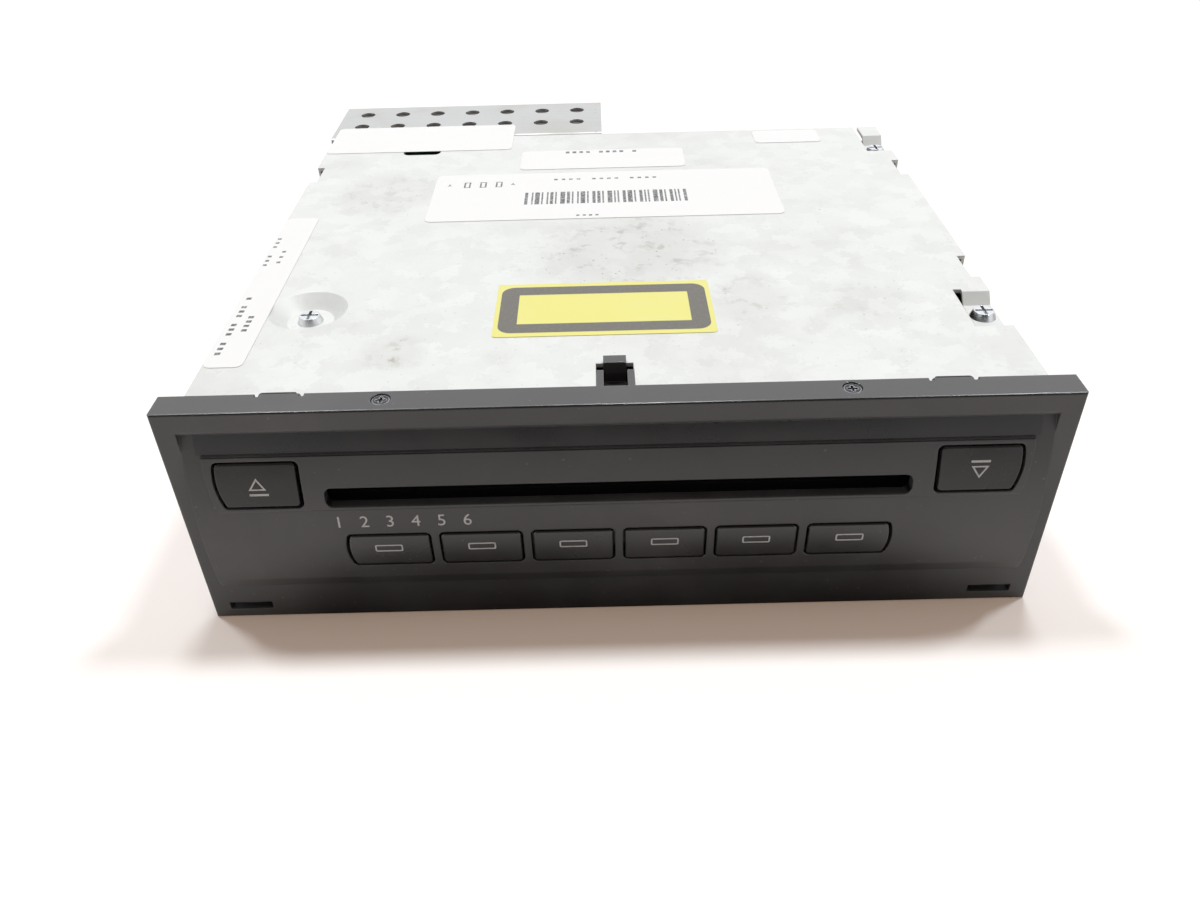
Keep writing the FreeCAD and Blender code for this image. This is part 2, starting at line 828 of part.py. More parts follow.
def build_button(name, spot):
    """A cap that follows the panel, with a retaining flange and a stem behind it."""
    body = new_body(name)
    gap = "-button_gap"
    side = name in ("eject_button", "load_button")
    rise = "band_proud + button_proud - 0.1" if side else "button_proud"
    flange_front = "1.8" if side else "-0.4"
    cap = new_sketch(body, name + "_cap", "XZ", f"-({flange_front}) - 0.1")
    narrowed = (f"{spot[0]} + inner_gap",) + spot[1:] if side else spot
    key_outline(cap, narrowed, gap, "k")
    pad(body, cap, "12")
    barrel_trim(body, name + "_trim", rise, f"{spot[3]} - 2", f"{spot[4]} + 2")
    doc.recompute()
    corners = edges_where(body.Tip.Shape, along_y)
    round_edges(body, corners, "button_corner - button_gap")
    flange = new_sketch(body, name + "_flange", "XZ", f"-({flange_front})")
    key_outline(flange, spot, "flange_lap", "k")
    pad(body, flange, "flange_thick", reverse=True)
    stem = new_sketch(body, name + "_stem", "XZ", f"-({flange_front})")
    inner, outer, foot, low, high, bow, mirror = spot
    middle = f"(({inner}) + ({outer})) / 2"
    if bow is not None and mirror:
        middle = f"-({middle})"
    circle(stem, (middle, f"({low} + {high}) / 2"), "stem_radius")
    pad(body, stem, f"button_stem - ({flange_front})", reverse=True)
    doc.recompute()
    rim = edges_where(
        body.Tip.Shape,
        lambda a, b: a.y < panel_surface(a.z) - 0.2
        and b.y < panel_surface(b.z) - 0.2
        and not along_y(a, b),
    )
    round_edges(body, rim, "0.25")
    node(body, name)


def key_middle(name):
    """The middle of a button as two expressions."""
    inner, outer, foot, low, high, bow, mirror = KEYS[name]
    middle = f"(({inner}) + ({outer})) / 2"
    if bow is not None and mirror:
        middle = f"-({middle})"
    return middle, f"({low} + {high}) / 2"


def board_outline(sketch, shrink="0"):
    """U shaped outline that leaves the disc slot free."""
    side = f"board_half - ({shrink})"
    slot = f"board_slot_half + ({shrink})"
    low = f"board_low + ({shrink})"
    top = f"board_top - ({shrink})"
    dip = f"board_slot_low - ({shrink})"
    points = [
        (f"-({side})", low),
        (side, low),
        (side, top),
        (slot, top),
        (slot, dip),
        (f"-({slot})", dip),
        (f"-({slot})", top),
        (f"-({side})", top),
    ]
    outline(sketch, points)


def build_keypad():
    """Rubber mat with a dome under every button, and the switch board behind it."""
    mat = new_body("keypad_mat")
    base = new_sketch(mat, "mat_plate", "XZ", f"-({BOARD_FRONT})")
    board_outline(base, "mat_inset")
    pad(mat, base, "mat_thick")
    domes = new_sketch(mat, "mat_domes", "XZ", f"-({BOARD_FRONT}) + mat_thick / 2")
    for i, name in enumerate(KEYS):
        circle(domes, key_middle(name), "stem_radius + 0.8", f"c{i}")
    pad(mat, domes, "mat_dome + mat_thick / 2")
    node(mat, "keypad_mat")

    board = new_body("switch_board")
    base = new_sketch(board, "board_plate", "XZ", f"-({BOARD_FRONT})")
    board_outline(base)
    pad(board, base, "board_thick", reverse=True)
    node(board, "switch_board")


def build_rim_screws():
    """Two small cross recess screws in the top of the rim."""
    screws = []
    for i, side in enumerate(("-", "")):
        at = f"{side}rim_screw_place"
        top = "fascia_height - rim_head_sink"
        head = rod(
            f"rim_head_{i}", "z", (at, "rim_screw_line", top), "rim_head_radius", "0.5"
        )
        shank = rod(
            f"rim_shank_{i}",
            "z",
            (at, "rim_screw_line", "fascia_height - rim_wall - 3"),
            "rim_screw_radius - 0.1",
            "rim_wall + 3 - rim_head_sink",
        )
        across = box(
            f"rim_cross_a{i}",
            (f"{at} - rim_cross", f"{at} + rim_cross"),
            ("rim_screw_line - 0.25", "rim_screw_line + 0.25"),
            (f"{top} + 0.15", f"{top} + 1"),
        )
        along = box(
            f"rim_cross_b{i}",
            (f"{at} - 0.25", f"{at} + 0.25"),
            ("rim_screw_line - rim_cross", "rim_screw_line + rim_cross"),
            (f"{top} + 0.15", f"{top} + 1"),
        )
        screws.append(cut(f"rim_screw_{i}", fuse(f"rim_blank_{i}", [head, shank]), [across, along]))
    node(group("rim_screws", screws), "rim_screws")


def build_front_frame():
    """Steel plate behind the fascia with the disc opening and two bent ears under the rim."""
    inner = INNER_HALF
    rear = "frame_front + sheet"
    plate = box(
        "frame_plate", (f"-({inner})", inner), ("frame_front", rear), ("case_low + sheet", "case_top")
    )
    opening = box(
        "frame_opening",
        ("-guide_half", "guide_half"),
        ("frame_front - 1", f"{rear} + 1"),
        ("slot_level - 4.5", "slot_level + 5"),
    )
    notch = box(
        "frame_notch",
        ("-catch_half - 0.3", "catch_half + 0.3"),
        ("frame_front - 1", f"{rear} + 1"),
        ("hook_low - 0.5", "case_top + 1"),
    )
    solids = [plate]
    holes = [opening, notch]
    for i, side in enumerate(("-", "")):
        middle = f"{side}rim_screw_place"
        span = (f"{middle} - 6", f"{middle} + 6")
        top = "fascia_height - rim_wall"
        solids.append(box(f"frame_ear_{i}", span, ("fascia_wall + 0.2", rear), (f"{top} - sheet", top)))
        solids.append(box(f"frame_neck_{i}", span, ("frame_front", rear), ("case_top - 2", top)))
        holes.append(
            rod(
                f"frame_hole_{i}",
                "z",
                (middle, "rim_screw_line", "case_top"),
                "rim_screw_radius - 0.1",
                "3",
            )
        )
    node(cut("front_frame", fuse("frame_blank", solids), holes), "front_frame")


def build_cover():
    """Top cover: a galvanised plate with short side folds, a dimple and two sunk screw tabs."""
    low = "case_top - sheet"
    half = "case_half"
    through = (f"{low} - 1", "case_top + 1")
    blank = [box("cover_plate", (f"-{half}", half), ("case_front", "case_rear"), (low, "case_top"))]
    for i, side in enumerate((-1, 1)):
        middle = f"{side} * (case_half - side_sheet / 2)"
        span = (f"{middle} - side_sheet / 2", f"{middle} + side_sheet / 2")
        level = ("case_top - cover_fold", "case_top")
        blank.append(box(f"cover_fold_{i}", span, ("case_front", "case_rear"), level))
    tools = [
        box(
            "cover_notch",
            ("-catch_half - 0.1", "catch_half + 0.1"),
            ("case_front - 1", "catch_notch"),
            through,
        )
    ]
    tools += soft_box(
        "cover_hole",
        ("-cover_hole_place - cover_hole_half", "-cover_hole_place + cover_hole_half"),
        ("cover_hole_front", "cover_hole_rear"),
        through,
        "cover_hole_corner",
    )
    at = ("-dimple_place", "dimple_line")
    tools.append(rod("dimple_mouth", "z", at + (f"{low} - 0.5",), "dimple_radius", "sheet + 1"))
    for i, (side, front) in enumerate(((-1, "132.6"), (1, "127.1"), (1, "59.7 - 1"))):
        middle = f"{side} * (case_half + 1 - relief_deep / 2 - 0.5)"
        span = (f"{middle} - relief_deep / 2 - 0.5", f"{middle} + relief_deep / 2 + 0.5")
        reach = (front, f"{front} + relief_length")
        tools.append(box(f"relief_{i}", span, reach, ("case_top - 5", "case_top + 1")))
    tabs = []
    bores = []
    for name, inner, slit, front, length, slit_end, screw in (
        (
            "front",
            "tab_inner",
            "tab_slit",
            "tab_front",
            "tab_length",
            "tab_front + tab_length + tab_slit_extra",
            "tab_screw_line",
        ),
        (
            "rear",
            "rear_tab_inner",
            "rear_tab_slit",
            "rear_tab_front",
            "rear_tab_length",
            "case_rear + 1",
            "rear_screw_line",
        ),
    ):
        rear = f"{front} + {length}"
        drop = "case_top - tab_drop"
        sunk = (drop, "case_top + 1")
        tools.append(box(f"sunk_{name}", (inner, "case_half + 1"), (front, rear), sunk))
        tools.append(box(f"slit_{name}", (inner, f"{inner} + {slit}"), (front, slit_end), through))
        tab = new_body(f"tab_{name}")
        profile = new_sketch(tab, f"tab_{name}_profile", "YZ", f"{inner} + {slit}")
        points = [
            (front, f"{drop} - sheet"),
            (f"{rear} - tab_slope", f"{drop} - sheet"),
            (rear, low),
            (rear, "case_top"),
            (f"{rear} - tab_slope", drop),
            (front, drop),
        ]
        outline(profile, points)
        pad(tab, profile, f"{half} - ({inner}) - ({slit})")
        tabs.append(tab)
        start = ("tab_screw_place", screw, f"{drop} - sheet - 1")
        bores.append(rod(f"bore_{name}", "z", start, "cover_screw_shank + 0.1", "3"))
    floor = "case_top - dimple_depth"
    dish = cone(
        "dimple_dish",
        "z",
        at + (f"{floor} - sheet",),
        "dimple_floor + 0.7",
        "dimple_radius + 0.7",
        "dimple_depth + sheet",
    )
    bowl = cone("dimple_bowl", "z", at + (floor,), "dimple_floor", "dimple_radius", "dimple_depth")
    bores.append(rod("dimple_bore", "z", at + (f"{floor} - sheet - 1",), "cover_screw_shank + 0.1", "4"))
    shell = cut("cover_shell", fuse("cover_blank", blank), tools)
    whole = fuse("cover_whole", [shell, cut("dimple", dish, [bowl])] + tabs)
    node(cut("top_cover", whole, bores), "top_cover")


def soft_box(name, x, y, z, corner):
    """Solids that make up a box with rounded upright corners."""
    (x0, x1), (y0, y1), (z0, z1) = x, y, z
    solids = [
        box(f"{name}_wide", (x0, x1), (f"{y0} + {corner}", f"{y1} - {corner}"), z),
        box(f"{name}_long", (f"{x0} + {corner}", f"{x1} - {corner}"), (y0, y1), z),
    ]
    for i, u in enumerate((f"{x0} + {corner}", f"{x1} - {corner}")):
        for j, v in enumerate((f"{y0} + {corner}", f"{y1} - {corner}")):
            solids.append(rod(f"{name}_corner_{i}{j}", "z", (u, v, z0), corner, f"({z1}) - ({z0})"))
    return solids


def build_pan():
    """Bottom pan: floor, two side walls and the rear wall in one bent sheet."""
    outer = "case_half - side_sheet - wall_clear"
    top = "case_top - sheet - tab_drop - 1.2"
    front = "frame_front"
    rear = "case_rear + wall_clear + sheet"
    block = box("pan_block", (f"-({outer})", outer), (front, rear), ("case_low", top))
    inner = INNER_HALF
    space = box(
        "pan_space",
        (f"-({inner})", inner),
        (f"{front} - 1", f"{rear} - sheet"),
        ("case_low + sheet", f"{top} + 1"),
    )
    tools = [space]
    # openings in the rear wall for the two sockets
    for name, (x0, x1, z0, z1) in SOCKETS.items():
        tools.append(
            box(
                f"port_{name}",
                (f"{x0} - 0.2", f"{x1} + 0.2"),
                (f"{rear} - 3", f"{rear} + 1"),
                (f"{z0} - 0.2", f"{z1} + 0.2"),
            )
        )
    # two threaded mounting holes in each side
    for i, side in enumerate((-1, 1)):
        for j in (0, 1):
            start = f"{side} * (case_half - 2) - 3"
            tools.append(
                rod(
                    f"side_hole_{i}{j}",
                    "x",
                    (start, f"side_hole_line + {j} * side_hole_pitch", "side_hole_level"),
                    "side_hole_radius",
                    "6",
                )
            )
    for i, x in enumerate((-1, 1)):
        tools.append(
            rod(
                f"bracket_bore_{i}",
                "y",
                (f"bracket_middle + {x} * bracket_screw_half", f"{rear} - 3", "bracket_screw_level"),
                "cover_screw_shank + 0.1",
                "4",
            )
        )
    body = cut("pan_shell", block, tools)
    ears = [body]
    drills = []
    floor = "case_top - tab_drop - sheet"
    dish = "case_top - dimple_depth - sheet"
    ear_places = (
        ("dimple", ("-(" + inner + ")", "-dimple_place + 3.3"), "dimple_line", dish, "-dimple_place"),
        ("front", ("tab_screw_place - 5", inner), "tab_screw_line", floor, "tab_screw_place"),
        ("rear", ("tab_screw_place - 5", inner), "rear_screw_line", floor, "tab_screw_place"),
    )
    for name, span, line, level, place in ear_places:
        ears.append(
            box(f"ear_{name}", span, (f"{line} - 5", f"{line} + 5"), (f"{level} - sheet", level))
        )
        ears.append(
            box(
                f"ear_root_{name}",
                ear_root(name, inner),
                (f"{line} - 5", f"{line} + 5"),
                (f"{level} - 6", level),
            )
        )
        drills.append(
            rod(f"ear_bore_{name}", "z", (place, line, f"{level} - 7"), "cover_screw_shank", "8")
        )
    node(cut("bottom_pan", fuse("pan_eared", ears), drills), "bottom_pan")


def ear_root(name, inner):
    """Span of the upright that carries a screw ear on the side wall."""
    if name == "dimple":
        return (f"-({inner} + side_sheet)", f"-({inner} - side_sheet)")
    return (f"{inner} - side_sheet", f"{inner} + side_sheet")


SOCKETS = {
    "power": ("14", "52", "12", "30"),
    "optical": ("60", "80", "14", "28"),
}


def build_bracket():
    """Perforated bracket behind the case, bent down along its front edge."""
    body = new_body("perforated_bracket")
    front = "case_rear + wall_clear + sheet"
    profile = new_sketch(body, "bracket_profile", "YZ", "-bracket_left")
    points = [
        (front, "bracket_low"),
        (f"{front} + sheet", "bracket_low"),
        (f"{front} + sheet", "case_top - sheet"),
        ("bracket_rear", "case_top - sheet"),
        ("bracket_rear", "case_top"),
        (front, "case_top"),
    ]
    outline(profile, points)
    pad(body, profile, "bracket_left - bracket_right")
    doc.recompute()
    top, edge = number("case_top"), number(front)
    bend = edges_where(
        body.Tip.Shape,
        lambda a, b: abs(a.x - b.x) > 10 and abs(a.z - top) < 1e-4 and abs(a.y - edge) < 1e-4,
    )
    round_edges(body, bend, "bracket_bend")
    holes = new_sketch(body, "bracket_holes", "XY", "case_top")
    count = int(SIZES["hole_columns"])
    for i in range(count):
        for j in range(2):
            place = (f"-hole_first + {i} * hole_pitch", f"hole_line + {j} * hole_pitch")
            circle(holes, place, "hole_radius", f"c{i}{j}")
    pocket(body, holes, "sheet + 1")
    bores = new_sketch(body, "bracket_bores", "XZ", f"-({front}) + 1")
    for i, x in enumerate((-1, 1)):
        circle(
            bores,
            (f"bracket_middle + {x} * bracket_screw_half", "bracket_screw_level"),
            "cover_screw_shank + 0.1",
            f"c{i}",
        )
    pocket(body, bores, "sheet + 2")
    node(body, "perforated_bracket")

    screws = []
    for i, x in enumerate((-1, 1)):
        at = f"bracket_middle + {x} * bracket_screw_half"
        shank = rod(
            f"bracket_shank_{i}", "y", (
                at, f"{front} - 2.4", "bracket_screw_level"
            ), "cover_screw_shank", "sheet + 2.4"
        )
        head = rod(
            f"bracket_head_{i}",
            "y",
            (at, f"{front} + sheet", "bracket_screw_level"),
            "cover_screw_head",
            "1.8",
        )
        screws.append(fuse(f"bracket_screw_{i}", [shank, head]))
    node(group("bracket_screws", screws), "bracket_screws")


def build_cover_screws():
    """Three pan head screws that hold the cover down."""
    screws = []
    places = (
        ("-dimple_place", "dimple_line", "case_top - dimple_depth"),
        ("tab_screw_place", "tab_screw_line", "case_top - tab_drop"),
        ("tab_screw_place", "rear_screw_line", "case_top - tab_drop"),
    )
    for i, (x, y, z) in enumerate(places):
        head = cone(
            f"cover_head_{i}", "z", (x, y, z), "cover_screw_head", "cover_screw_head - 0.7", "1.7"
        )
        shank = rod(f"cover_shank_{i}", "z", (x, y, f"{z} - 4"), "cover_screw_shank", "4.5")
        reach = "2.1"
        a = box(
            f"cover_cross_a{i}",
            (f"{x} - {reach}", f"{x} + {reach}"),
            (f"{y} - 0.35", f"{y} + 0.35"),
            (f"{z} + 0.9", f"{z} + 2"),
        )
        b = box(
            f"cover_cross_b{i}",
            (f"{x} - 0.35", f"{x} + 0.35"),
            (f"{y} - {reach}", f"{y} + {reach}"),
            (f"{z} + 0.9", f"{z} + 2"),
        )
        screws.append(cut(f"cover_screw_{i}", fuse(f"cover_blank_{i}", [head, shank]), [a, b]))
    node(group("cover_screws", screws), "cover_screws")


def build_stickers():
    """Blank paper stickers on the cover, and one with a printed frame."""
    white = {
        "main": ("-52", "50", "100", "135"),
        "small": ("-27", "25", "case_rear - 31.6", "case_rear - 15.4"),
        "side": ("-case_half + sticker", "-case_half + 9.05", "24", "105"),
        "right": ("49.4", "71", "case_rear - 12.9", "case_rear - 1.4"),
        "left": ("-case_half + sticker / 2", "-30.6", "case_rear - 13", "hole_line - hole_radius + 0.5"),
    }
    solids = []
    for name, (x0, x1, y0, y1) in white.items():
        solids.append(box(f"sticker_{name}", (x0, x1), (y0, y1), ("case_top", "case_top + sticker")))
    node(group("white_stickers", solids), "white_stickers")
    yellow = box("yellow_sticker", ("-28", "24"), ("34.3", "60.3"), ("case_top", "case_top + sticker"))
    node(yellow, "yellow_sticker")


def build_guide():
    """Plastic plate over the disc path with two side rails."""
    low = "slot_level + guide_gap / 2 + disc_thick / 2"
    rear = "frame_front + sheet"
    plate = box(
        "guide_plate",
        ("-guide_half + 0.5", "guide_half - 0.5"),
        (f"{rear}", "guide_rear"),
        (low, f"{low} + guide_thick"),
    )
    rails = []
    for i, side in enumerate((-1, 1)):
        a = f"{side} * (guide_half - 1.5) - 1"
        b = f"{side} * (guide_half - 1.5) + 1"
        rails.append(box(f"guide_rail_{i}", (a, b), (rear, "guide_rear"), (f"{low} - 1.8", low)))
    node(fuse("disc_guide", [plate] + rails), "disc_guide")


def build_roller():
    """Loading roller: steel shaft with a waisted rubber sleeve, and the plates that carry it."""
    level = ROLLER_LEVEL
    shaft = rod(
        "roller_shaft",
        "x",
        ("-drive_plate - plate_thick - 1", "roller_line", level),
        "roller_shaft",
        "2 * drive_plate + plate_thick + 1 + (gear_plane - drive_plate + gear_width)",
    )
    node(shaft, "roller_shaft")
    left = cone(
        "sleeve_left",
        "x",
        ("-roller_half", "roller_line", level),
        "roller_radius",
        "roller_waist",
        "roller_half",
    )
    right = cone(
        "sleeve_right", "x", ("0", "roller_line", level), "roller_waist", "roller_radius", "roller_half"
    )
    core = rod(
        "sleeve_core",
        "x",
        ("-roller_half - 1", "roller_line", level),
        "roller_shaft",
        "2 * roller_half + 2",
    )
    node(cut("roller_sleeve", fuse("sleeve_blank", [left, right]), [core]), "roller_sleeve")

    rear = "frame_front + sheet"
    hole = "roller_shaft + bearing_clear"
    left_plate = box(
        "bearing_left",
        ("-drive_plate - plate_thick", "-drive_plate"),
        (rear, "roller_line + 5"),
        (f"{level} - 5", f"{level} + 4"),
    )
    bore = rod(
        "bearing_bore",
        "x",
        ("-drive_plate - plate_thick - 1", "roller_line", level),
        hole,
        "plate_thick + 2",
    )
    node(cut("roller_bearing", left_plate, [bore]), "roller_bearing")

    wall = ("drive_plate", "drive_plate + plate_thick")
    sheet_y = (rear, "roller_line + 15")
    plate = box("drive_sheet", wall, sheet_y, ("pulley_top + 1", f"{level} + 4"))
    bore = rod("drive_bore", "x", ("drive_plate - 1", "roller_line", level), hole, "plate_thick + 2")
    far = "gear_module * (roller_teeth + 2 * idler_teeth + pinion_teeth) / 2"
    drop = f"min(train_steep; ({level} - base_top - motor_radius - motor_clear) / ({far}))"
    lean = f"acos({drop})"
    reach = "gear_module * (roller_teeth + idler_teeth) / 2"
    iy, iz = f"roller_line + {reach} * sin({lean})", f"{level} - {reach} * {drop}"
    my, mz = f"roller_line + {far} * sin({lean})", f"{level} - {far} * {drop}"
    collar = rod("motor_bore", "x", ("drive_plate - 1", my, mz), "2", "plate_thick + 2")
    pin = rod(
        "idler_pin", "x", ("drive_plate + 0.5", iy, iz), "1.2", "gear_plane - drive_plate + gear_width"
    )
    node(fuse("drive_bracket", [cut("drive_open", plate, [bore, collar]), pin]), "drive_bracket")

    can = rod("motor_can", "x", ("drive_plate - motor_length", my, mz), "motor_radius", "motor_length")
    tail = rod("motor_tail", "x", ("drive_plate - motor_length - 1.5", my, mz), "2.5", "2")
    nose = rod("motor_nose", "x", ("drive_plate - 0.5", my, mz), "1.9", "plate_thick + 0.8")
    bore = rod("motor_hole", "x", ("drive_plate - 3", my, mz), "0.85", "6")
    node(cut("loading_motor", fuse("motor_blank", [can, tail, nose]), [bore]), "loading_motor")
    return (number(iy), number(iz)), (number(my), number(mz))


def involute(angle):
    return math.tan(angle) - angle


def gear_face(teeth, module, backlash, phase):
    """Involute gear outline in the XY plane, with a tooth centred at the phase angle."""
    pressure = math.radians(20)
    pitch = module * teeth / 2
    base = pitch * math.cos(pressure)
    tip = pitch + 0.75 * module
    root = pitch - 1.05 * module
    half = math.pi / (2 * teeth) - backlash / (4 * pitch)
    radii = [max(base, root) + (tip - max(base, root)) * i / 5 for i in range(6)]
    flank = []
    for radius in radii:
        wedge = half + involute(pressure) - involute(math.acos(min(1.0, base / radius)))
        flank.append((radius, wedge))
    if root < base:
        flank.insert(0, (root, flank[0][1]))
    points = []
    for tooth in range(teeth):
        middle = phase + 2 * math.pi * tooth / teeth
        for radius, wedge in flank:
            points.append(
                Vector(radius * math.cos(middle - wedge), radius * math.sin(middle - wedge), 0)
            )
        for radius, wedge in reversed(flank):
            points.append(
                Vector(radius * math.cos(middle + wedge), radius * math.sin(middle + wedge), 0)
            )
    points.append(points[0])
    return Part.Face(Part.makePolygon(points))


def gear_solid(name, teeth, phase, centre, bore):
    """A gear with its axis along X. Its outline lies in the YZ plane at the gear plane."""
    module = number("gear_module")
    shape = gear_face(
        teeth, module, number("gear_backlash"), phase
    ).extrude(Vector(0, 0, number("gear_width")))
    if bore:
        shape = shape.cut(Part.makeCylinder(bore, number("gear_width") + 2, Vector(0, 0, -1)))
    turn = Rotation(Vector(0, 1, 0), Vector(0, 0, 1), Vector(1, 0, 0), "ZXY")
    shape = shape.transformGeometry(
        Placement(Vector(number("gear_plane"), centre[0], centre[1]), turn).toMatrix()
    )
    return shape


def build_gears(idler_at, motor_at):
    """Roller gear, idler and motor pinion, in mesh."""
    roller_at = (number("roller_line"), number(ROLLER_LEVEL))
    count = [int(number(word)) for word in ("roller_teeth", "idler_teeth", "pinion_teeth")]
    way = math.atan2(motor_at[1] - roller_at[1], motor_at[0] - roller_at[0])
    phases = [way]
    for i in (1, 2):
        seen = (way - phases[i - 1]) * count[i - 1] / (2 * math.pi)
        phases.append(way + math.pi - (0.5 - seen) * 2 * math.pi / count[i])
    bores = (number("roller_shaft"), 1.2 + number("bearing_clear"), 0)
    names = ("roller_gear", "idler_gear", "motor_pinion")
    for name, teeth, phase, centre, bore in zip(
        names,
        count,
        phases,
        (roller_at, idler_at, motor_at),
        bores,
    ):
        shape = gear_solid(name, teeth, phase, centre, bore)
        if name == "motor_pinion":
            start = number("drive_plate") - 2.5
            length = number("gear_plane") - start + 0.5
            spindle = Part.makeCylinder(
                0.8, length, Vector(start, centre[0], centre[1]), Vector(1, 0, 0)
            )
            shape = shape.fuse(spindle)
        feature = doc.addObject("Part::Feature", name)
        feature.Shape = shape
        node(feature, name)


def build_trays():
    """Six disc trays between four nut blocks that ride on the lift screws."""
    for k in range(6):
        body = new_body(f"disc_tray_{k + 1}")
        low = f"{TOP_TRAY} - {5 - k} * tray_pitch"
        plate = new_sketch(body, f"tray_plate_{k}", "XY", low)
        rectangle(plate, ("-tray_half", "tray_half"), ("tray_front", "tray_rear"))
        pad(body, plate, "tray_thick")
        seat = new_sketch(body, f"tray_seat_{k}", "XY", f"{low} + tray_thick")
        circle(seat, ("0", "disc_line"), "disc_radius + 1")
        pocket(body, seat, "tray_seat")
        mouth = new_sketch(body, f"tray_mouth_{k}", "XY", f"{low} + tray_thick")
        points = [
            ("-tray_mouth", "disc_line"),
            ("tray_mouth", "disc_line"),
            ("tray_mouth", "tray_rear + 1"),
            ("-tray_mouth", "tray_rear + 1"),
        ]
        outline(mouth, points, "p", {0: ("tray_mouth + 0.01", -1)})
        pocket(body, mouth, "tray_thick + 1")
        node(body, f"disc_tray_{k + 1}")
    blocks = []
    for i, (side, line) in enumerate(SCREW_SPOTS):
        middle = f"{side} * screw_place"
        inner_half = "nut_half"
        block = box(
            f"nut_{i}",
            (f"{middle} - {inner_half}", f"{middle} + {inner_half}"),
            (f"{line} - {inner_half}", f"{line} + {inner_half}"),
            (f"{TOP_TRAY} - 5 * tray_pitch - 0.3", f"{TOP_TRAY} + tray_thick"),
        )
        bore = rod(f"nut_bore_{i}", "z", (middle, line, "base_top"), "screw_radius + 0.08", "60")
        blocks.append(cut(f"nut_block_{i}", block, [bore]))
    node(group("tray_nuts", blocks), "tray_nuts")


SCREW_SPOTS = ((-1, "screw_front"), (1, "screw_front"), (1, "screw_rear"), (-1, "screw_rear"))


def build_lift():
    """Four lead screws with toothed pulleys, one belt round them and the motor that drives it."""
    root, crest = number("screw_root"), number("screw_radius")
    pitch = number("screw_pitch")
    low, high = number("pulley_top") + 1.5, number("lift_screw_top")
    pulley_low, pulley_top = number("pulley_low"), number("pulley_top")
    for i, (side, line) in enumerate(SCREW_SPOTS):
        points = [Vector(0, 0, number("base_low") + 0.2)]
        points.append(Vector(root - 0.3, 0, number("base_low") + 0.2))
        points.append(Vector(root - 0.3, 0, pulley_low - 0.2))
        points.append(Vector(crest, 0, pulley_low - 0.2))
        points.append(Vector(crest, 0, low))
        level = low
        while level + pitch < high:
            points.append(Vector(root, 0, level + pitch * 0.25))
            points.append(Vector(crest, 0, level + pitch * 0.5))
            points.append(Vector(crest, 0, level + pitch))
            level += pitch
        points.append(Vector(crest - 0.4, 0, high))
        points.append(Vector(0, 0, high))
        points.append(points[0])
        shape = Part.Face(Part.makePolygon(points)).revolve(Vector(), Vector(0, 0, 1), 360)
        pulley = toothed_wheel(number("pulley_radius"), 20, 0.45)
        pulley = pulley.extrude(Vector(0, 0, pulley_top - pulley_low))
        pulley.translate(Vector(0, 0, pulley_low))
        shape = shape.fuse(pulley)
        shape.translate(Vector(side * number("screw_place"), number(line), 0))
        feature = doc.addObject("Part::Feature", f"lift_screw_{i + 1}")
        feature.Shape = shape
        node(feature, f"lift_screw_{i + 1}")

    belt_in = "pulley_radius + belt_clear"
    belt_out = "pulley_radius + belt_clear + belt_thick"
    body = new_body("lift_belt")
    loop = new_sketch(body, "belt_loop", "XY", "pulley_low + 0.2")
    for tag, grow in (("o", belt_out), ("i", belt_in)):
        x, front, rear = "screw_place", "screw_front", "screw_rear"
        points = [
            (f"-{x}", f"{front} - ({grow})"),
            (x, f"{front} - ({grow})"),
            (f"{x} + ({grow})", front),
            (f"{x} + ({grow})", rear),
            (x, f"{rear} + ({grow})"),
            (f"-{x}", f"{rear} + ({grow})"),
            (f"-({x} + ({grow}))", rear),
            (f"-({x} + ({grow}))", front),
        ]
        outline(loop, points, tag, {i: (grow, -1) for i in (1, 3, 5, 7)})
    pad(body, loop, "pulley_top - pulley_low - 0.4")
    node(body, "lift_belt")

    place = ("lift_motor_place", "screw_front")
    can = rod(
        "lift_can",
        "z",
        place + ("pulley_top + 0.7",),
        "lift_motor_radius",
        f"{TOP_TRAY} - 5 * tray_pitch - 1 - (pulley_top + 0.7)",
    )
    bore = rod("lift_hole", "z", place + ("pulley_top - 0.5",), "0.85", "4")
    node(cut("lift_motor", can, [bore]), "lift_motor")
    wheel = toothed_wheel(
        number("pulley_radius"), 20, 0.45
    ).extrude(Vector(0, 0, pulley_top - pulley_low))
    wheel.translate(Vector(0, 0, pulley_low))
    spindle = Part.makeCylinder(0.8, 3.5, Vector(0, 0, pulley_top - 0.5))
    shape = wheel.fuse(spindle)
    shape.translate(Vector(number("lift_motor_place"), number("screw_front"), 0))
    feature = doc.addObject("Part::Feature", "drive_pulley")
    feature.Shape = shape
    node(feature, "drive_pulley")


def toothed_wheel(radius, teeth, depth):
    """Face of a small toothed pulley with square teeth."""
    points = []
    for i in range(teeth):
        middle = 2 * math.pi * i / teeth
        step = math.pi / teeth
        for share, size in (
            (-0.5, radius),
            (0.5, radius),
            (0.62, radius - depth),
            (1.38, radius - depth),
        ):
            angle = middle + share * step
            points.append(Vector(size * math.cos(angle), size * math.sin(angle), 0))
    points.append(points[0])
    return Part.Face(Part.makePolygon(points))


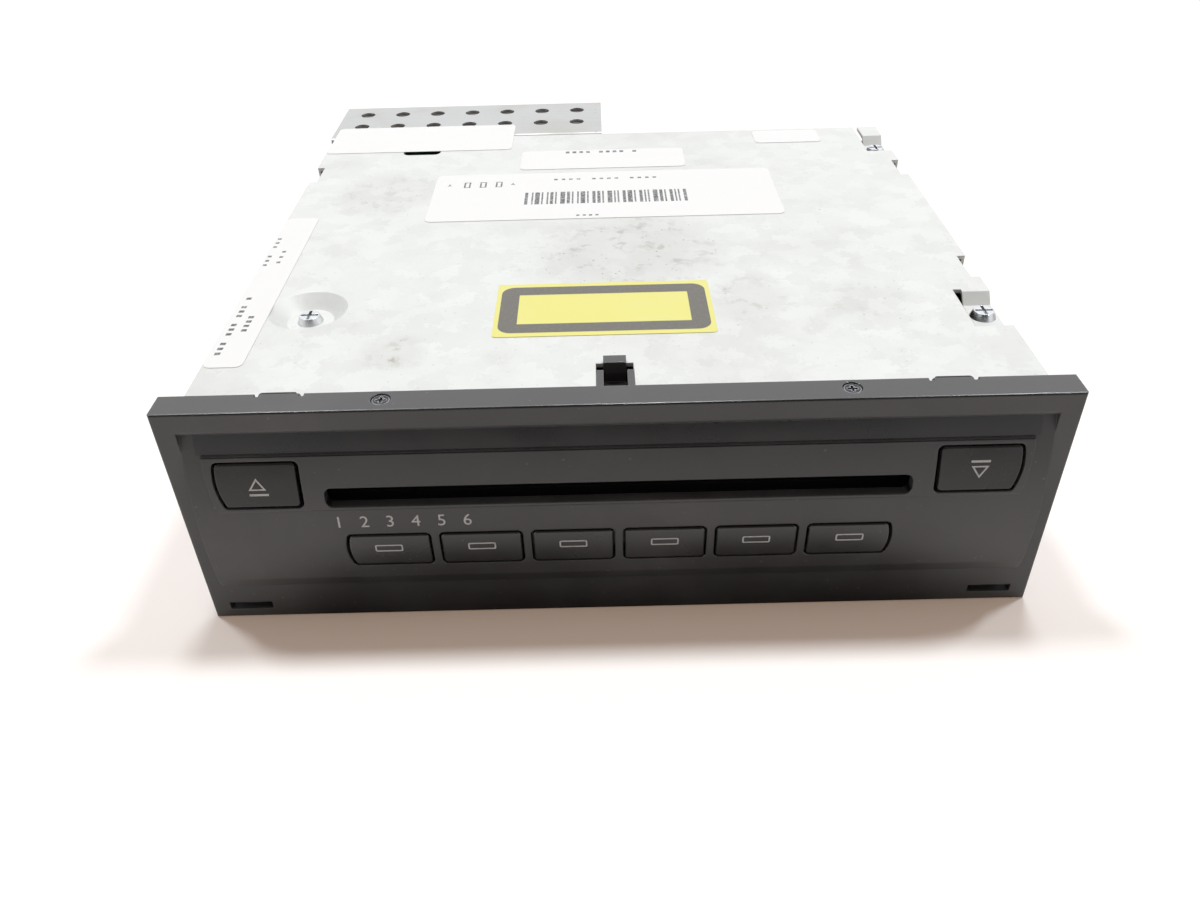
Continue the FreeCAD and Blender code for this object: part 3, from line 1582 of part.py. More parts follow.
def build_base():
    """Mechanism base plate on four rubber dampers, with the pivot of the traverse arm."""
    plate = box(
        "base_sheet", ("-base_half", "base_half"), ("base_front", "base_rear"), ("base_low", "base_top")
    )
    window = box("base_window", ("-50", "50"), ("52", "132"), ("base_low - 1", "base_top + 1"))
    tools = [window]
    for i, (side, line) in enumerate(SCREW_SPOTS):
        tools.append(
            rod(
                f"base_bore_{i}",
                "z",
                (f"{side} * screw_place", line, "base_low - 1"),
                "screw_root - 0.3 + bearing_clear",
                "4",
            )
        )
    pivot = rod(
        "pivot_pin",
        "z",
        ("-pivot_place", "pivot_line", "base_low + 0.3"),
        "pivot_radius",
        "arm_top - base_low + 1.5",
    )
    shoulder = rod(
        "pivot_shoulder",
        "z",
        ("-pivot_place", "pivot_line", "base_low + 0.3"),
        "pivot_radius + 2",
        "arm_low - base_low - 0.6",
    )
    node(fuse("mechanism_base", [cut("base_open", plate, tools), pivot, shoulder]), "mechanism_base")
    pucks = []
    for i, (x, y) in enumerate(((-1, 20), (1, 20), (1, 155), (-1, 135))):
        pucks.append(
            rod(
                f"puck_{i}",
                "z",
                (f"{x} * 60", f"{y}", "case_low + sheet"),
                "damper_radius",
                "base_low - case_low - sheet",
            )
        )
    node(group("rubber_dampers", pucks), "rubber_dampers")


def build_arm():
    """Traverse arm with spindle motor, guide rods, feed motor, pickup sled, feed screw and turntable."""
    line = "pivot_line"
    tip = "spindle_place + 13"
    plate = box(
        "arm_plate", ("-62", tip), (f"{line} - arm_half", f"{line} + arm_half"), ("arm_low", "arm_top")
    )
    neck = box(
        "arm_neck", ("-pivot_place", "-60"), (f"{line} - 8", f"{line} + 8"), ("arm_low", "arm_top")
    )
    hub = rod("arm_hub", "z", ("-pivot_place", line, "arm_low"), "hub_radius", "arm_top - arm_low")
    window = box(
        "arm_window", ("-46", "11.5"), (f"{line} - 8.5", f"{line} + 8.5"), ("arm_low - 1", "arm_top + 1")
    )
    pivot = rod(
        "arm_bore", "z", ("-pivot_place", line, "arm_low - 1"), "pivot_radius + bearing_clear", "5"
    )
    shaft = rod("arm_shaft", "z", ("spindle_place", line, "arm_low - 1"), "1.06", "4")
    posts = []
    bores = [window, pivot, shaft]
    feed = f"{line} - feed_offset"
    for i, (x0, x1) in enumerate((("-rod_start - 2", "-rod_start + 1"), ("rod_end - 1", "rod_end + 2"))):
        posts.append(
            box(
                f"arm_post_{i}",
                (x0, x1),
                (f"{feed} - 2.5", f"{line} + arm_half"),
                ("arm_low", "rod_level + 2"),
            )
        )
        for j, side in enumerate((-1, 1)):
            bores.append(
                rod(
                    f"post_bore_{i}{j}",
                    "x",
                    (x0 + " - 1", f"{line} + {side} * rod_offset", "rod_level"),
                    "rod_radius",
                    "6",
                )
            )
        bores.append(
            rod(
                f"feed_bore_{i}",
                "x",
                (x0 + " - 1", feed, "rod_level"),
                "rod_radius + bearing_clear",
                "6",
            )
        )
    bores.append(
        box(
            "motor_notch",
            ("-64", "-rod_start - 2"),
            (f"{line} - arm_half - 1", f"{feed} + 4.8"),
            ("arm_low - 1", "arm_top + 1"),
        )
    )
    node(cut("traverse_arm", fuse("arm_blank", [plate, neck, hub] + posts), bores), "traverse_arm")

    rods = []
    for j, side in enumerate((-1, 1)):
        rods.append(
            rod(
                f"guide_rod_{j}",
                "x",
                ("-rod_start - 2", f"{line} + {side} * rod_offset", "rod_level"),
                "rod_radius",
                "rod_start + rod_end + 4",
            )
        )
    node(group("guide_rods", rods), "guide_rods")

    motor = rod("spindle_can", "z", ("spindle_place", line, "arm_low - 3.4"), "11", "3.4")
    hole = rod("spindle_hole", "z", ("spindle_place", line, "arm_low - 2"), "1.06", "3")
    node(cut("spindle_motor", motor, [hole]), "spindle_motor")
    table = rod("table_disc", "z", ("spindle_place", line, "arm_top + 0.9"), "turntable_radius", "1.4")
    nose = cone("table_nose", "z", ("spindle_place", line, "arm_top + 2.3"), "7.4", "6.2", "2.2")
    axle = rod("table_axle", "z", ("spindle_place", line, "arm_low - 1.6"), "1", "arm_top - arm_low + 3")
    node(fuse("turntable", [table, nose, axle]), "turntable")

    feed_motor = rod("feed_can", "x", ("-rod_start - 2 - 11", feed, "rod_level"), "4.4", "11")
    hole = rod("feed_hole", "x", ("-rod_start - 2 - 2", feed, "rod_level"), "0.85", "4")
    node(cut("sled_motor", feed_motor, [hole]), "sled_motor")
    start = "-rod_start - 2 - 1.5"
    thin = rod("feed_stub", "x", (start, feed, "rod_level"), "0.8", "2.5")
    journal = rod(
        "feed_journal",
        "x",
        ("-rod_start - 1.9", feed, "rod_level"),
        "rod_radius",
        "rod_start + rod_end + 3.8",
    )
    node(fuse("sled_screw", [thin, journal]), "sled_screw")

    x0, x1 = "sled_inner - sled_half", "sled_inner + sled_half"
    top = box(
        "sled_block",
        (x0, x1),
        (f"{line} - rod_offset - 2.2", f"{line} + rod_offset + 2.2"),
        ("arm_top + 0.4", "rod_level + 2.4"),
    )
    under = box(
        "sled_under",
        (f"{x0} + 1", f"{x1} - 1"),
        (f"{line} - 7.5", f"{line} + 7.5"),
        ("arm_low - 2", "arm_top + 1"),
    )
    nut = box(
        "sled_nut",
        ("sled_inner - 2", "sled_inner + 2"),
        (f"{feed} - 2.2", f"{line} - rod_offset"),
        ("rod_level - 2", "rod_level + 2.2"),
    )
    holes = []
    for j, side in enumerate((-1, 1)):
        holes.append(
            rod(
                f"sled_bore_{j}",
                "x",
                (x0 + " - 1", f"{line} + {side} * rod_offset", "rod_level"),
                "rod_radius + bearing_clear",
                "2 * sled_half + 2",
            )
        )
    holes.append(
        rod("sled_thread", "x", ("sled_inner - 3", feed, "rod_level"), "rod_radius + bearing_clear", "6")
    )
    node(cut("pickup_sled", fuse("sled_blank", [top, under, nut]), holes), "pickup_sled")
    lens = rod("pickup_lens", "z", ("sled_inner", line, "rod_level + 2.4"), "lens_radius", "0.9")
    node(lens, "pickup_lens")


def build_electronics():
    """Main board with its parts, the two rear sockets and the flat cable to the switch board."""
    front = "main_board_line"
    board = box(
        "main_sheet",
        ("-main_board_half", "main_board_half"),
        (front, f"{front} + board_thick"),
        ("main_board_low", "main_board_top"),
    )
    node(board, "main_board")
    chips = []
    for i, (x, z, w, high, d) in enumerate(
        ((-40, 38, 14, 14, 1.6), (-10, 40, 10, 10, 1.4), (30, 36, 20, 12, 1.8), (62, 40, 8, 8, 1.2)),
    ):
        chips.append(
            box(
                f"chip_{i}",
                (f"{x} - {w / 2}", f"{x} + {w / 2}"),
                (f"{front} - {d}", front),
                (f"{z} - {high / 2}", f"{z} + {high / 2}"),
            )
        )
    for i, x in enumerate((8, -62, -70)):
        chips.append(rod(f"capacitor_{i}", "y", (f"{x}", f"{front} - 6", "42"), "3.1", "6"))
    node(group("board_parts", chips), "board_parts")

    for name, (x0, x1, z0, z1) in SOCKETS.items():
        rear = f"{front} + board_thick"
        shell = box(f"{name}_shell", (x0, x1), (rear, f"{rear} + socket_depth"), (z0, z1))
        space = box(
            f"{name}_space",
            (f"{x0} + 1.5", f"{x1} - 1.5"),
            (f"{rear} + 3", f"{rear} + socket_depth + 1"),
            (f"{z0} + 1.5", f"{z1} - 1.5"),
        )
        solids = [cut(f"{name}_case", shell, [space])]
        if name == "power":
            for i in range(8):
                for j in range(2):
                    x = f"{x0} + 4.5 + {i} * 4.1"
                    z = f"{z0} + 5 + {j} * 7"
                    solids.append(
                        box(
                            f"pin_{i}{j}",
                            (x, f"{x} + 1"),
                            (f"{rear} + 1", f"{rear} + socket_depth - 3"),
                            (z, f"{z} + 1"),
                        )
                    )
        else:
            for i in (0, 1):
                x = f"{x0} + 6 + {i} * 8"
                solids.append(
                    rod(
                        f"ferrule_{i}",
                        "y",
                        (x, f"{rear} + 1", f"({z0} + {z1}) / 2"),
                        "1.8",
                        "socket_depth - 5",
                    )
                )
        node(fuse(f"{name}_socket", solids), f"{name}_socket")

    inner = f"{INNER_HALF} - 0.6"
    strip = box(
        "ribbon_strip", (f"{inner} - 0.3", inner), ("frame_front + sheet + 0.5", front), ("16", "30")
    )
    front_tail = box(
        "ribbon_front",
        (f"{inner} - 3", inner),
        ("frame_front + sheet + 0.2", "frame_front + sheet + 0.5"),
        ("16", "30"),
    )
    rear_tail = box(
        "ribbon_rear", ("main_board_half - 6", inner), (f"{front} - 0.3", front), ("16", "30")
    )
    node(fuse("ribbon_cable", [strip, front_tail, rear_tail]), "ribbon_cable")


def build_latches():
    """Side springs behind the release key slots."""
    for name, side in (("left", -1), ("right", 1)):
        base = f"{side} * (case_half + 0.5)"
        leaf = box(
            f"leaf_{name}", (f"{base} - 0.4", f"{base} + 0.4"), ("frame_front + 0.5", "62"), ("8", "20")
        )
        bump = box(
            f"bump_{name}",
            (f"{base} + {side} * 0.9 - 0.6", f"{base} + {side} * 0.9 + 0.6"),
            ("40", "46"),
            ("9", "19"),
        )
        node(fuse(f"release_spring_{name}", [leaf, bump]), f"release_spring_{name}")


def finish():
    """Check every object, then write one STEP file per sub-part."""
    doc.removeObject("Scratch")
    doc.recompute()
    faults = [item.Name for item in doc.Objects if {"Invalid", "Error"} & set(item.State)]
    for item in nodes:
        shape = item.Shape
        if shape.isNull() or not shape.isValid() or not shape.Solids:
            faults.append(item.Label)
    if faults:
        raise RuntimeError("faults in " + ", ".join(faults))
    os.makedirs("parts", exist_ok=True)
    for item in nodes:
        item.Shape.exportStep(f"parts/{item.Label}.step")
        size = item.Shape.BoundBox
        print(
            item.Label,
            len(item.Shape.Solids),
            round(item.Shape.Volume),
            [round(v, 2) for v in (size.XMin, size.XMax, size.YMin, size.YMax, size.ZMin, size.ZMax)],
        )


build_fascia()
for key, spot in KEYS.items():
    build_button(key, spot)
build_keypad()
build_rim_screws()
build_front_frame()
build_cover()
build_pan()
build_bracket()
build_cover_screws()
build_stickers()
build_guide()
idler_place, motor_place = build_roller()
build_gears(idler_place, motor_place)
build_trays()
build_lift()
build_base()
build_arm()
build_electronics()
build_latches()
finish()
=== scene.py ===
import math

import bmesh
import bpy
from mathutils import Euler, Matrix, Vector
from mathutils.bvhtree import BVHTree


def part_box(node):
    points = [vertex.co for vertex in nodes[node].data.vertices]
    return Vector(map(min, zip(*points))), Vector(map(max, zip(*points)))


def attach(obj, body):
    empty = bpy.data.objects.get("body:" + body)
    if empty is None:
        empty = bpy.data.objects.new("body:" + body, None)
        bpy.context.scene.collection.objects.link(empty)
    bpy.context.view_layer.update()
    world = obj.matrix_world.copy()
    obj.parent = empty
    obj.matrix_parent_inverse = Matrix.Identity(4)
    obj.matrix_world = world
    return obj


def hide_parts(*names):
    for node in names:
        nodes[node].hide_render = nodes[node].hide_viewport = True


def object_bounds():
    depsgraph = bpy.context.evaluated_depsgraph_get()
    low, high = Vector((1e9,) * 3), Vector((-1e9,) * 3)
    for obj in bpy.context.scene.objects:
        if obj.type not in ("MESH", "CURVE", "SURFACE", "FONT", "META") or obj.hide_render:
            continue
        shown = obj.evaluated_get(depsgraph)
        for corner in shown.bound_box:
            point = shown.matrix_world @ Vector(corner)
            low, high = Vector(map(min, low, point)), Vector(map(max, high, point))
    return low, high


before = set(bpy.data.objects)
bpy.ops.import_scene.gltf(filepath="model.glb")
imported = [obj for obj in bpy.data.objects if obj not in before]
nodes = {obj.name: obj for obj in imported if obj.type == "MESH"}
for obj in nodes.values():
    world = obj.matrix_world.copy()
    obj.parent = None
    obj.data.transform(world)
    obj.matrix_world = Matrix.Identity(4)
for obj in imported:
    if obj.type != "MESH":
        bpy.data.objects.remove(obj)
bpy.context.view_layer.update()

# Fascia.
# One moulding of charcoal ABS with a fine matt grain, polished by handling along its edges.
# It clips and screws to the steel frame behind it. All lengths here are metres.
FASCIA_COLOUR = (0.0315, 0.0295, 0.0300, 1.0)
FASCIA_WORN_COLOUR = (0.095, 0.095, 0.099, 1.0)
DUST_COLOUR = (0.30, 0.27, 0.23, 1.0)
# Near black painted shade for plastic edges that slope up.
EDGE_SHADE_COLOUR = (0.004, 0.004, 0.004, 1.0)
FASCIA_EDGE_RADIUS = 0.00045
FASCIA_GRAIN_SCALE = 2600.0
FASCIA_ROUGHNESS = 0.5
PLASTIC_SPECULAR = 0.72
PLASTIC_NICKS = {"Scale": 800.0, "Share": 0.2, "Size": 0.3}
PLASTIC_DUST = {"Scale": 35.0, "Low": 0.5, "High": 0.85}
TONE_SHARE = 0.16
RUBBED_SHARE = 0.2
EDGE_SHADE_SHARE = 0.85
POLISHED_ROUGHNESS = 0.2
SLOPE_START = (0.34, 0.5)
SLOPE_END = (0.98, 0.93)
EDGE_SHADE_END = (0.88, 0.72)
# Strip across the top of the panel: a band of painted shade, also made smoother.
STRIP_PLACE = (0.0868, 0.0469, 0.0516)
STRIP_BLUR = (0.0002, 0.0001, 0.0003)
STRIP_PAINTED_SHADE = (0.020, 0.0185, 0.019, 1.0)
STRIP_ROUGHNESS = 0.3


def feed(tree, socket, value):
    """Links a value to a socket, or sets the socket to a constant."""
    if isinstance(value, bpy.types.NodeSocket):
        tree.links.new(value, socket)
    else:
        socket.default_value = value


def put(tree, kind, settings=None, inputs=None):
    """Adds a shader node with its properties, constants and links."""
    node = tree.nodes.new(kind)
    for name, value in (settings or {}).items():
        setattr(node, name, value)
    for name, value in (inputs or {}).items():
        feed(tree, node.inputs[name], value)
    return node


def math_node(tree, operation, *values):
    """Adds a sum, product or comparison and returns its value."""
    return put(tree, "ShaderNodeMath", {"operation": operation}, dict(enumerate(values))).outputs[0]


def vector_node(tree, operation, *values):
    """Adds a sum, product or measure of vectors."""
    return put(tree, "ShaderNodeVectorMath", {"operation": operation}, dict(enumerate(values)))


def between(tree, value, low, high, to_low=0.0, to_high=1.0):
    """Maps a value smoothly from one range to another."""
    settings = {"interpolation_type": "SMOOTHSTEP"}
    inputs = {"Value": value, "From Min": low, "From Max": high, "To Min": to_low, "To Max": to_high}
    return put(tree, "ShaderNodeMapRange", settings, inputs).outputs["Result"]


def mix_colour(tree, factor, first, second):
    """Mixes two colours by a mask."""
    inputs = {0: factor, 6: first, 7: second}
    return put(tree, "ShaderNodeMix", {"data_type": "RGBA"}, inputs).outputs[2]


def tint(tree, mask, share, base, colour):
    """Lays a share of a colour over another one where a mask is white."""
    return mix_colour(tree, math_node(tree, "MULTIPLY", mask, share), base, colour)


def object_place(tree):
    """Place in the piece's own coordinates."""
    return tree.nodes.new("ShaderNodeTexCoord").outputs["Object"]


def noise(tree, place, scale, detail, roughness=0.5, distortion=0.0):
    """Adds a cloudy noise."""
    inputs = {"Vector": place, "Scale": scale, "Detail": detail}
    inputs.update({"Roughness": roughness, "Distortion": distortion})
    return put(tree, "ShaderNodeTexNoise", None, inputs)


def new_group(name, inputs, outputs):
    """Starts a shader node group with named number or vector sockets."""
    tree = bpy.data.node_groups.new(name, "ShaderNodeTree")
    for label, kind, value in inputs:
        made = tree.interface.new_socket(label, in_out="INPUT", socket_type="NodeSocket" + kind)
        made.default_value = value
    for label, kind in outputs:
        tree.interface.new_socket(label, in_out="OUTPUT", socket_type="NodeSocket" + kind)
    return tree, tree.nodes.new("NodeGroupInput"), tree.nodes.new("NodeGroupOutput")


def use_group(tree, name, inputs=None):
    """Places a shader node group in a material."""
    return put(tree, "ShaderNodeGroup", {"node_tree": bpy.data.node_groups[name]}, inputs)


def make_soft_edges():
    """Rounds the shading at edges, and marks the edges that rub against things."""
    tree, given, result = new_group(
        "soft_edges",
        [("Radius", "Float", 0.0003), ("Width", "Float", 0.0006)],
        [("Normal", "Vector"), ("Edge", "Float")],
    )
    rounded = put(tree, "ShaderNodeBevel", {"samples": 6}, {"Radius": given.outputs["Radius"]})
    wide = put(tree, "ShaderNodeBevel", {"samples": 6}, {"Radius": given.outputs["Width"]})
    flat = tree.nodes.new("ShaderNodeNewGeometry")
    turn = vector_node(tree, "DOT_PRODUCT", wide.outputs[0], flat.outputs["Normal"])
    convex = between(tree, flat.outputs["Pointiness"], 0.47, 0.5)
    edge = math_node(tree, "MULTIPLY", between(tree, turn.outputs["Value"], 0.995, 0.88), convex)
    tree.links.new(rounded.outputs[0], result.inputs["Normal"])
    tree.links.new(edge, result.inputs["Edge"])


def make_grain():
    """Fine moulded or rolled grain, as a height and as a slight change of tone."""
    tree, given, result = new_group(
        "grain",
        [("Scale", "Float", 2000.0), ("Stretch", "Vector", (1.0, 1.0, 1.0))],
        [("Height", "Float"), ("Tone", "Float")],
    )
    place = vector_node(tree, "MULTIPLY", object_place(tree), given.outputs["Stretch"]).outputs[0]
    fine = noise(tree, place, given.outputs["Scale"], 3.0, 0.6)
    broad = noise(tree, place, 45.0, 4.0, 0.55)
    tree.links.new(fine.outputs["Fac"], result.inputs["Height"])
    tree.links.new(between(tree, broad.outputs["Fac"], 0.25, 0.75), result.inputs["Tone"])


def make_specks():
    """Small round marks scattered at random, in clusters."""
    tree, given, result = new_group(
        "specks",
        [("Scale", "Float", 300.0), ("Share", "Float", 0.2), ("Size", "Float", 0.2)],
        [("Mask", "Float")],
    )
    place = object_place(tree)
    inputs = {"Vector": place, "Scale": given.outputs["Scale"]}
    cells = put(tree, "ShaderNodeTexVoronoi", None, inputs)
    shade = put(tree, "ShaderNodeSeparateColor", None, {"Color": cells.outputs["Color"]})
    cluster = noise(tree, place, 30.0, 3.0)
    share = math_node(tree, "MULTIPLY", given.outputs["Share"], cluster.outputs["Fac"])
    chosen = math_node(tree, "LESS_THAN", shade.outputs[0], share)
    size = math_node(tree, "MULTIPLY", given.outputs["Size"], shade.outputs[1])
    inner = math_node(tree, "MULTIPLY", size, 0.6)
    spot = between(tree, cells.outputs["Distance"], size, inner)
    tree.links.new(math_node(tree, "MULTIPLY", spot, chosen), result.inputs["Mask"])


def make_patches():
    """Soft uneven patches, such as dust, haze and wiped grime."""
    tree, given, result = new_group(
        "patches",
        [("Scale", "Float", 20.0), ("Low", "Float", 0.45), ("High", "Float", 0.7)],
        [("Mask", "Float")],
    )
    cloud = noise(tree, object_place(tree), given.outputs["Scale"], 7.0, 0.62, 0.35)
    mask = between(tree, cloud.outputs["Fac"], given.outputs["Low"], given.outputs["High"])
    tree.links.new(mask, result.inputs["Mask"])


def make_scratches():
    """Sparse fine lines in one direction, broken along their length."""
    tree, given, result = new_group(
        "scratches",
        [("Angle", "Float", 0.4), ("Scale", "Float", 60.0), ("Share", "Float", 0.06)],
        [("Mask", "Float")],
    )
    place = object_place(tree)
    inputs = {"Vector": place, "Angle": given.outputs["Angle"]}
    turned = put(tree, "ShaderNodeVectorRotate", {"rotation_type": "Z_AXIS"}, inputs).outputs[0]
    drawn = vector_node(tree, "MULTIPLY", turned, (0.05, 1.0, 1.0)).outputs[0]
    lines = noise(tree, drawn, given.outputs["Scale"], 5.0, 0.8).outputs["Fac"]
    height = math_node(tree, "ABSOLUTE", math_node(tree, "SUBTRACT", lines, 0.5))
    thin = between(tree, height, 0.004, 0.0)
    breaks = noise(tree, place, 55.0, 2.0).outputs["Fac"]
    share = math_node(tree, "SUBTRACT", 0.72, given.outputs["Share"])
    kept = between(tree, breaks, share, 0.8)
    tree.links.new(math_node(tree, "MULTIPLY", thin, kept), result.inputs["Mask"])


def new_material(name):
    """Starts a material with one principled shader."""
    material = bpy.data.materials.new(name)
    material.use_nodes = True
    tree = material.node_tree
    return material, tree, tree.nodes["Principled BSDF"]


def give_surface(tree, shader, colour, roughness, normal=None, metallic=0.0):
    """Sets or links the main inputs of a principled shader."""
    pairs = (("Base Color", colour), ("Roughness", roughness), ("Normal", normal), ("Metallic", metallic))
    for name, value in pairs:
        if value is not None:
            feed(tree, shader.inputs[name], value)


def bump(tree, height, normal, strength, distance):
    """Turns a height into a normal on top of another normal."""
    inputs = {"Height": height, "Normal": normal, "Strength": strength, "Distance": distance}
    return put(tree, "ShaderNodeBump", None, inputs).outputs["Normal"]


def dress(material, *names):
    """Gives CAD nodes a material."""
    for name in names:
        mesh = nodes[name].data
        mesh.materials.clear()
        mesh.materials.append(material)


def shaded_strip_mask(tree, half, low, high):
    """Mask of the strip between two levels, as wide as the panel, that gets painted shade and a lower
    roughness.
    """
    side_blur, low_blur, high_blur = STRIP_BLUR
    split = put(tree, "ShaderNodeSeparateXYZ", None, {"Vector": object_place(tree)})
    above = between(tree, split.outputs["Z"], low, low + low_blur)
    below = between(tree, split.outputs["Z"], high + high_blur, high)
    inside = between(tree, math_node(tree, "ABSOLUTE", split.outputs["X"]), half, half - side_blur)
    return math_node(tree, "MULTIPLY", math_node(tree, "MULTIPLY", above, below), inside)


def moulded_plastic(name, colour, worn, roughness, dust=0.25, shine=PLASTIC_SPECULAR, strip=None):
    """Matt moulded plastic with polished edges, nicks and settled dust, with painted shade on edges that
    slope up and, where asked, on a strip.
    """
    material, tree, shader = new_material(name)
    edges = use_group(tree, "soft_edges", {"Radius": FASCIA_EDGE_RADIUS})
    texture = use_group(tree, "grain", {"Scale": FASCIA_GRAIN_SCALE})
    nicks = use_group(tree, "specks", PLASTIC_NICKS)
    settled = use_group(tree, "patches", PLASTIC_DUST)
    tone = between(tree, texture.outputs["Tone"], 0.0, 1.0, 0.0, TONE_SHARE)
    base = mix_colour(tree, tone, colour, worn)
    base = tint(tree, edges.outputs["Edge"], RUBBED_SHARE, base, worn)
    base = tint(tree, settled.outputs["Mask"], dust * 0.25, base, DUST_COLOUR)
    base = tint(tree, nicks.outputs["Mask"], dust * 0.6, base, DUST_COLOUR)
    rough = between(tree, texture.outputs["Tone"], 0.0, 1.0, roughness - 0.05, roughness + 0.06)
    slope = put(tree, "ShaderNodeSeparateXYZ", None, {"Vector": edges.outputs["Normal"]}).outputs["Z"]
    rising = between(tree, slope, *SLOPE_START)
    rounded = math_node(tree, "MULTIPLY", rising, between(tree, slope, *SLOPE_END))
    # Edges whose rounded normal slopes up at a middle angle are painted near black, as a painted shade line.
    under = math_node(tree, "MULTIPLY", rising, between(tree, slope, *EDGE_SHADE_END))
    base = tint(tree, under, EDGE_SHADE_SHARE, base, EDGE_SHADE_COLOUR)
    rough = math_node(tree, "MULTIPLY_ADD", rounded, POLISHED_ROUGHNESS - roughness, rough)
    # Where asked, the strip is painted darker, as painted shade, and made smoother.
    if strip:
        mask = shaded_strip_mask(tree, *strip)
        base = mix_colour(tree, mask, base, STRIP_PAINTED_SHADE)
        rough = math_node(tree, "MULTIPLY_ADD", mask, STRIP_ROUGHNESS - roughness, rough)
    normal = bump(tree, texture.outputs["Height"], edges.outputs["Normal"], 0.35, 0.00004)
    give_surface(tree, shader, base, rough, normal)
    shader.inputs["Specular IOR Level"].default_value = shine
    return material


make_soft_edges()
make_grain()
make_specks()
make_patches()
make_scratches()
fascia_looks = (FASCIA_COLOUR, FASCIA_WORN_COLOUR, FASCIA_ROUGHNESS)
dress(moulded_plastic("fascia_plastic", *fascia_looks, strip=STRIP_PLACE), "fascia")

# Eject, load and disc keys.
# Moulded in the same charcoal plastic, smoother than the fascia where fingers press them.
# They stand half a millimetre proud of the curved panel and float on the rubber keypad.
KEY_COLOUR = (0.026, 0.0245, 0.0255, 1.0)
KEY_WORN_COLOUR = (0.09, 0.088, 0.092, 1.0)
KEY_ROUGHNESS = 0.26
SIDE_KEYS = ("eject_button", "load_button")
DISC_KEYS = {f"disc_button_{number}": f"disc_key_{number}" for number in range(1, 7)}

key_looks = (KEY_COLOUR, KEY_WORN_COLOUR, KEY_ROUGHNESS)
dress(moulded_plastic("key_plastic", *key_looks, dust=0.18, shine=0.6), *DISC_KEYS)
dress(moulded_plastic("side_key_plastic", *key_looks, dust=0.1, shine=0.36), *SIDE_KEYS)

# Key prints.
# Light grey screen printing: a rounded outline on each disc key, a triangle over a bar to
# eject, a triangle under a bar to load, and plain numbers on the panel over the first keys.
PRINT_COLOUR = (0.50, 0.50, 0.50, 1.0)
PRINT_LIFT = 0.000014
PRINT_DEPTH = 0.00006
PRINT_LINE = 0.00031
OUTLINE_SIZE = (0.0060, 0.0019)
OUTLINE_CORNER = 0.0004
OUTLINE_LEVEL = 0.0235
PRINT_STEP = 0.0006
TRIANGLE_HALF = (0.00185, 0.00138)
TRIANGLE_HOLE = 0.66
BAR_SIZE = (0.0040, 0.00048)
EJECT_TRIANGLE_PLACE = (-0.0749, 0.0409)
EJECT_BAR_PLACE = (-0.0747, 0.0385)
LOAD_TRIANGLE_PLACE = (0.0748, 0.0398)
LOAD_BAR_PLACE = (0.0748, 0.0422)


def print_material():
    """Screen ink, slightly rubbed."""
    material, tree, shader = new_material("key_print")
    rubbed = use_group(tree, "patches", {"Scale": 900.0, "Low": 0.45, "High": 0.8})
    colour = tint(tree, rubbed.outputs["Mask"], 0.35, PRINT_COLOUR, KEY_WORN_COLOUR)
    give_surface(tree, shader, colour, 0.55)
    return material


def surface_tree(name):
    """Search tree of a CAD node's mesh."""
    mesh = nodes[name].data
    return BVHTree.FromPolygons([v.co for v in mesh.vertices], [p.vertices for p in mesh.polygons])


def front_place(tree, x, z, lift):
    """Point on the front of a node at a width and height."""
    found = tree.ray_cast(Vector((x, -0.2, z)), Vector((0.0, 1.0, 0.0)))
    return Vector((x, found[0].y - lift, z))


def rounded_rectangle(width, height, corner, steps=6):
    """Points round a rectangle with rounded corners, about its middle."""
    points = []
    corners = ((1, 1, 0.0), (-1, 1, 0.5), (-1, -1, 1.0), (1, -1, 1.5))
    for across, up, start in corners:
        middle = (across * (width / 2 - corner), up * (height / 2 - corner))
        for step in range(steps + 1):
            angle = math.pi * (start + 0.5 * step / steps)
            points.append((middle[0] + corner * math.cos(angle), middle[1] + corner * math.sin(angle)))
    return points


def split_sides(points, length):
    """Adds points so that no side of a loop is longer than a length."""
    result = []
    for first, second in zip(points, points[1:] + points[:1]):
        count = max(1, math.ceil(math.dist(first, second) / length))
        for step in range(count):
            share = step / count
            result.append(tuple(a + (b - a) * share for a, b in zip(first, second)))
    return result


def add_band(mesh, outer, inner, to_place):
    """Adds a closed ring between two loops of equal length, lying on a surface."""
    rows = []
    levels = (PRINT_LIFT, PRINT_LIFT, -PRINT_DEPTH, -PRINT_DEPTH)
    for loop, lift in zip((outer, inner, inner, outer), levels):
        rows.append([mesh.verts.new(to_place(x, z, lift)) for x, z in loop])
    count = len(outer)
    for index in range(count):
        following = (index + 1) % count
        for row in range(4):
            after = (row + 1) % 4
            corners = (rows[row][index], rows[row][following], rows[after][following], rows[after][index])
            mesh.faces.new(corners)


def add_patch(mesh, outline, to_place):
    """Adds a closed solid patch with a given outline, lying on a surface."""
    middle = tuple(sum(point[axis] for point in outline) / len(outline) for axis in (0, 1))
    top = [mesh.verts.new(to_place(x, z, PRINT_LIFT)) for x, z in outline]
    bottom = [mesh.verts.new(to_place(x, z, -PRINT_DEPTH)) for x, z in outline]
    top_middle = mesh.verts.new(to_place(*middle, PRINT_LIFT))
    bottom_middle = mesh.verts.new(to_place(*middle, -PRINT_DEPTH))
    for index in range(len(outline)):
        after = (index + 1) % len(outline)
        mesh.faces.new((top_middle, top[index], top[after]))
        mesh.faces.new((bottom_middle, bottom[after], bottom[index]))
        mesh.faces.new((top[index], bottom[index], bottom[after], top[after]))


def finish_piece(name, mesh, material, body):
    """Turns a built mesh into a piece that rides on a body."""
    bmesh.ops.recalc_face_normals(mesh, faces=mesh.faces)
    data = bpy.data.meshes.new(name)
    mesh.to_mesh(data)
    mesh.free()
    piece = bpy.data.objects.new(name, data)
    bpy.context.scene.collection.objects.link(piece)
    data.materials.append(material)
    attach(piece, body)
    return piece


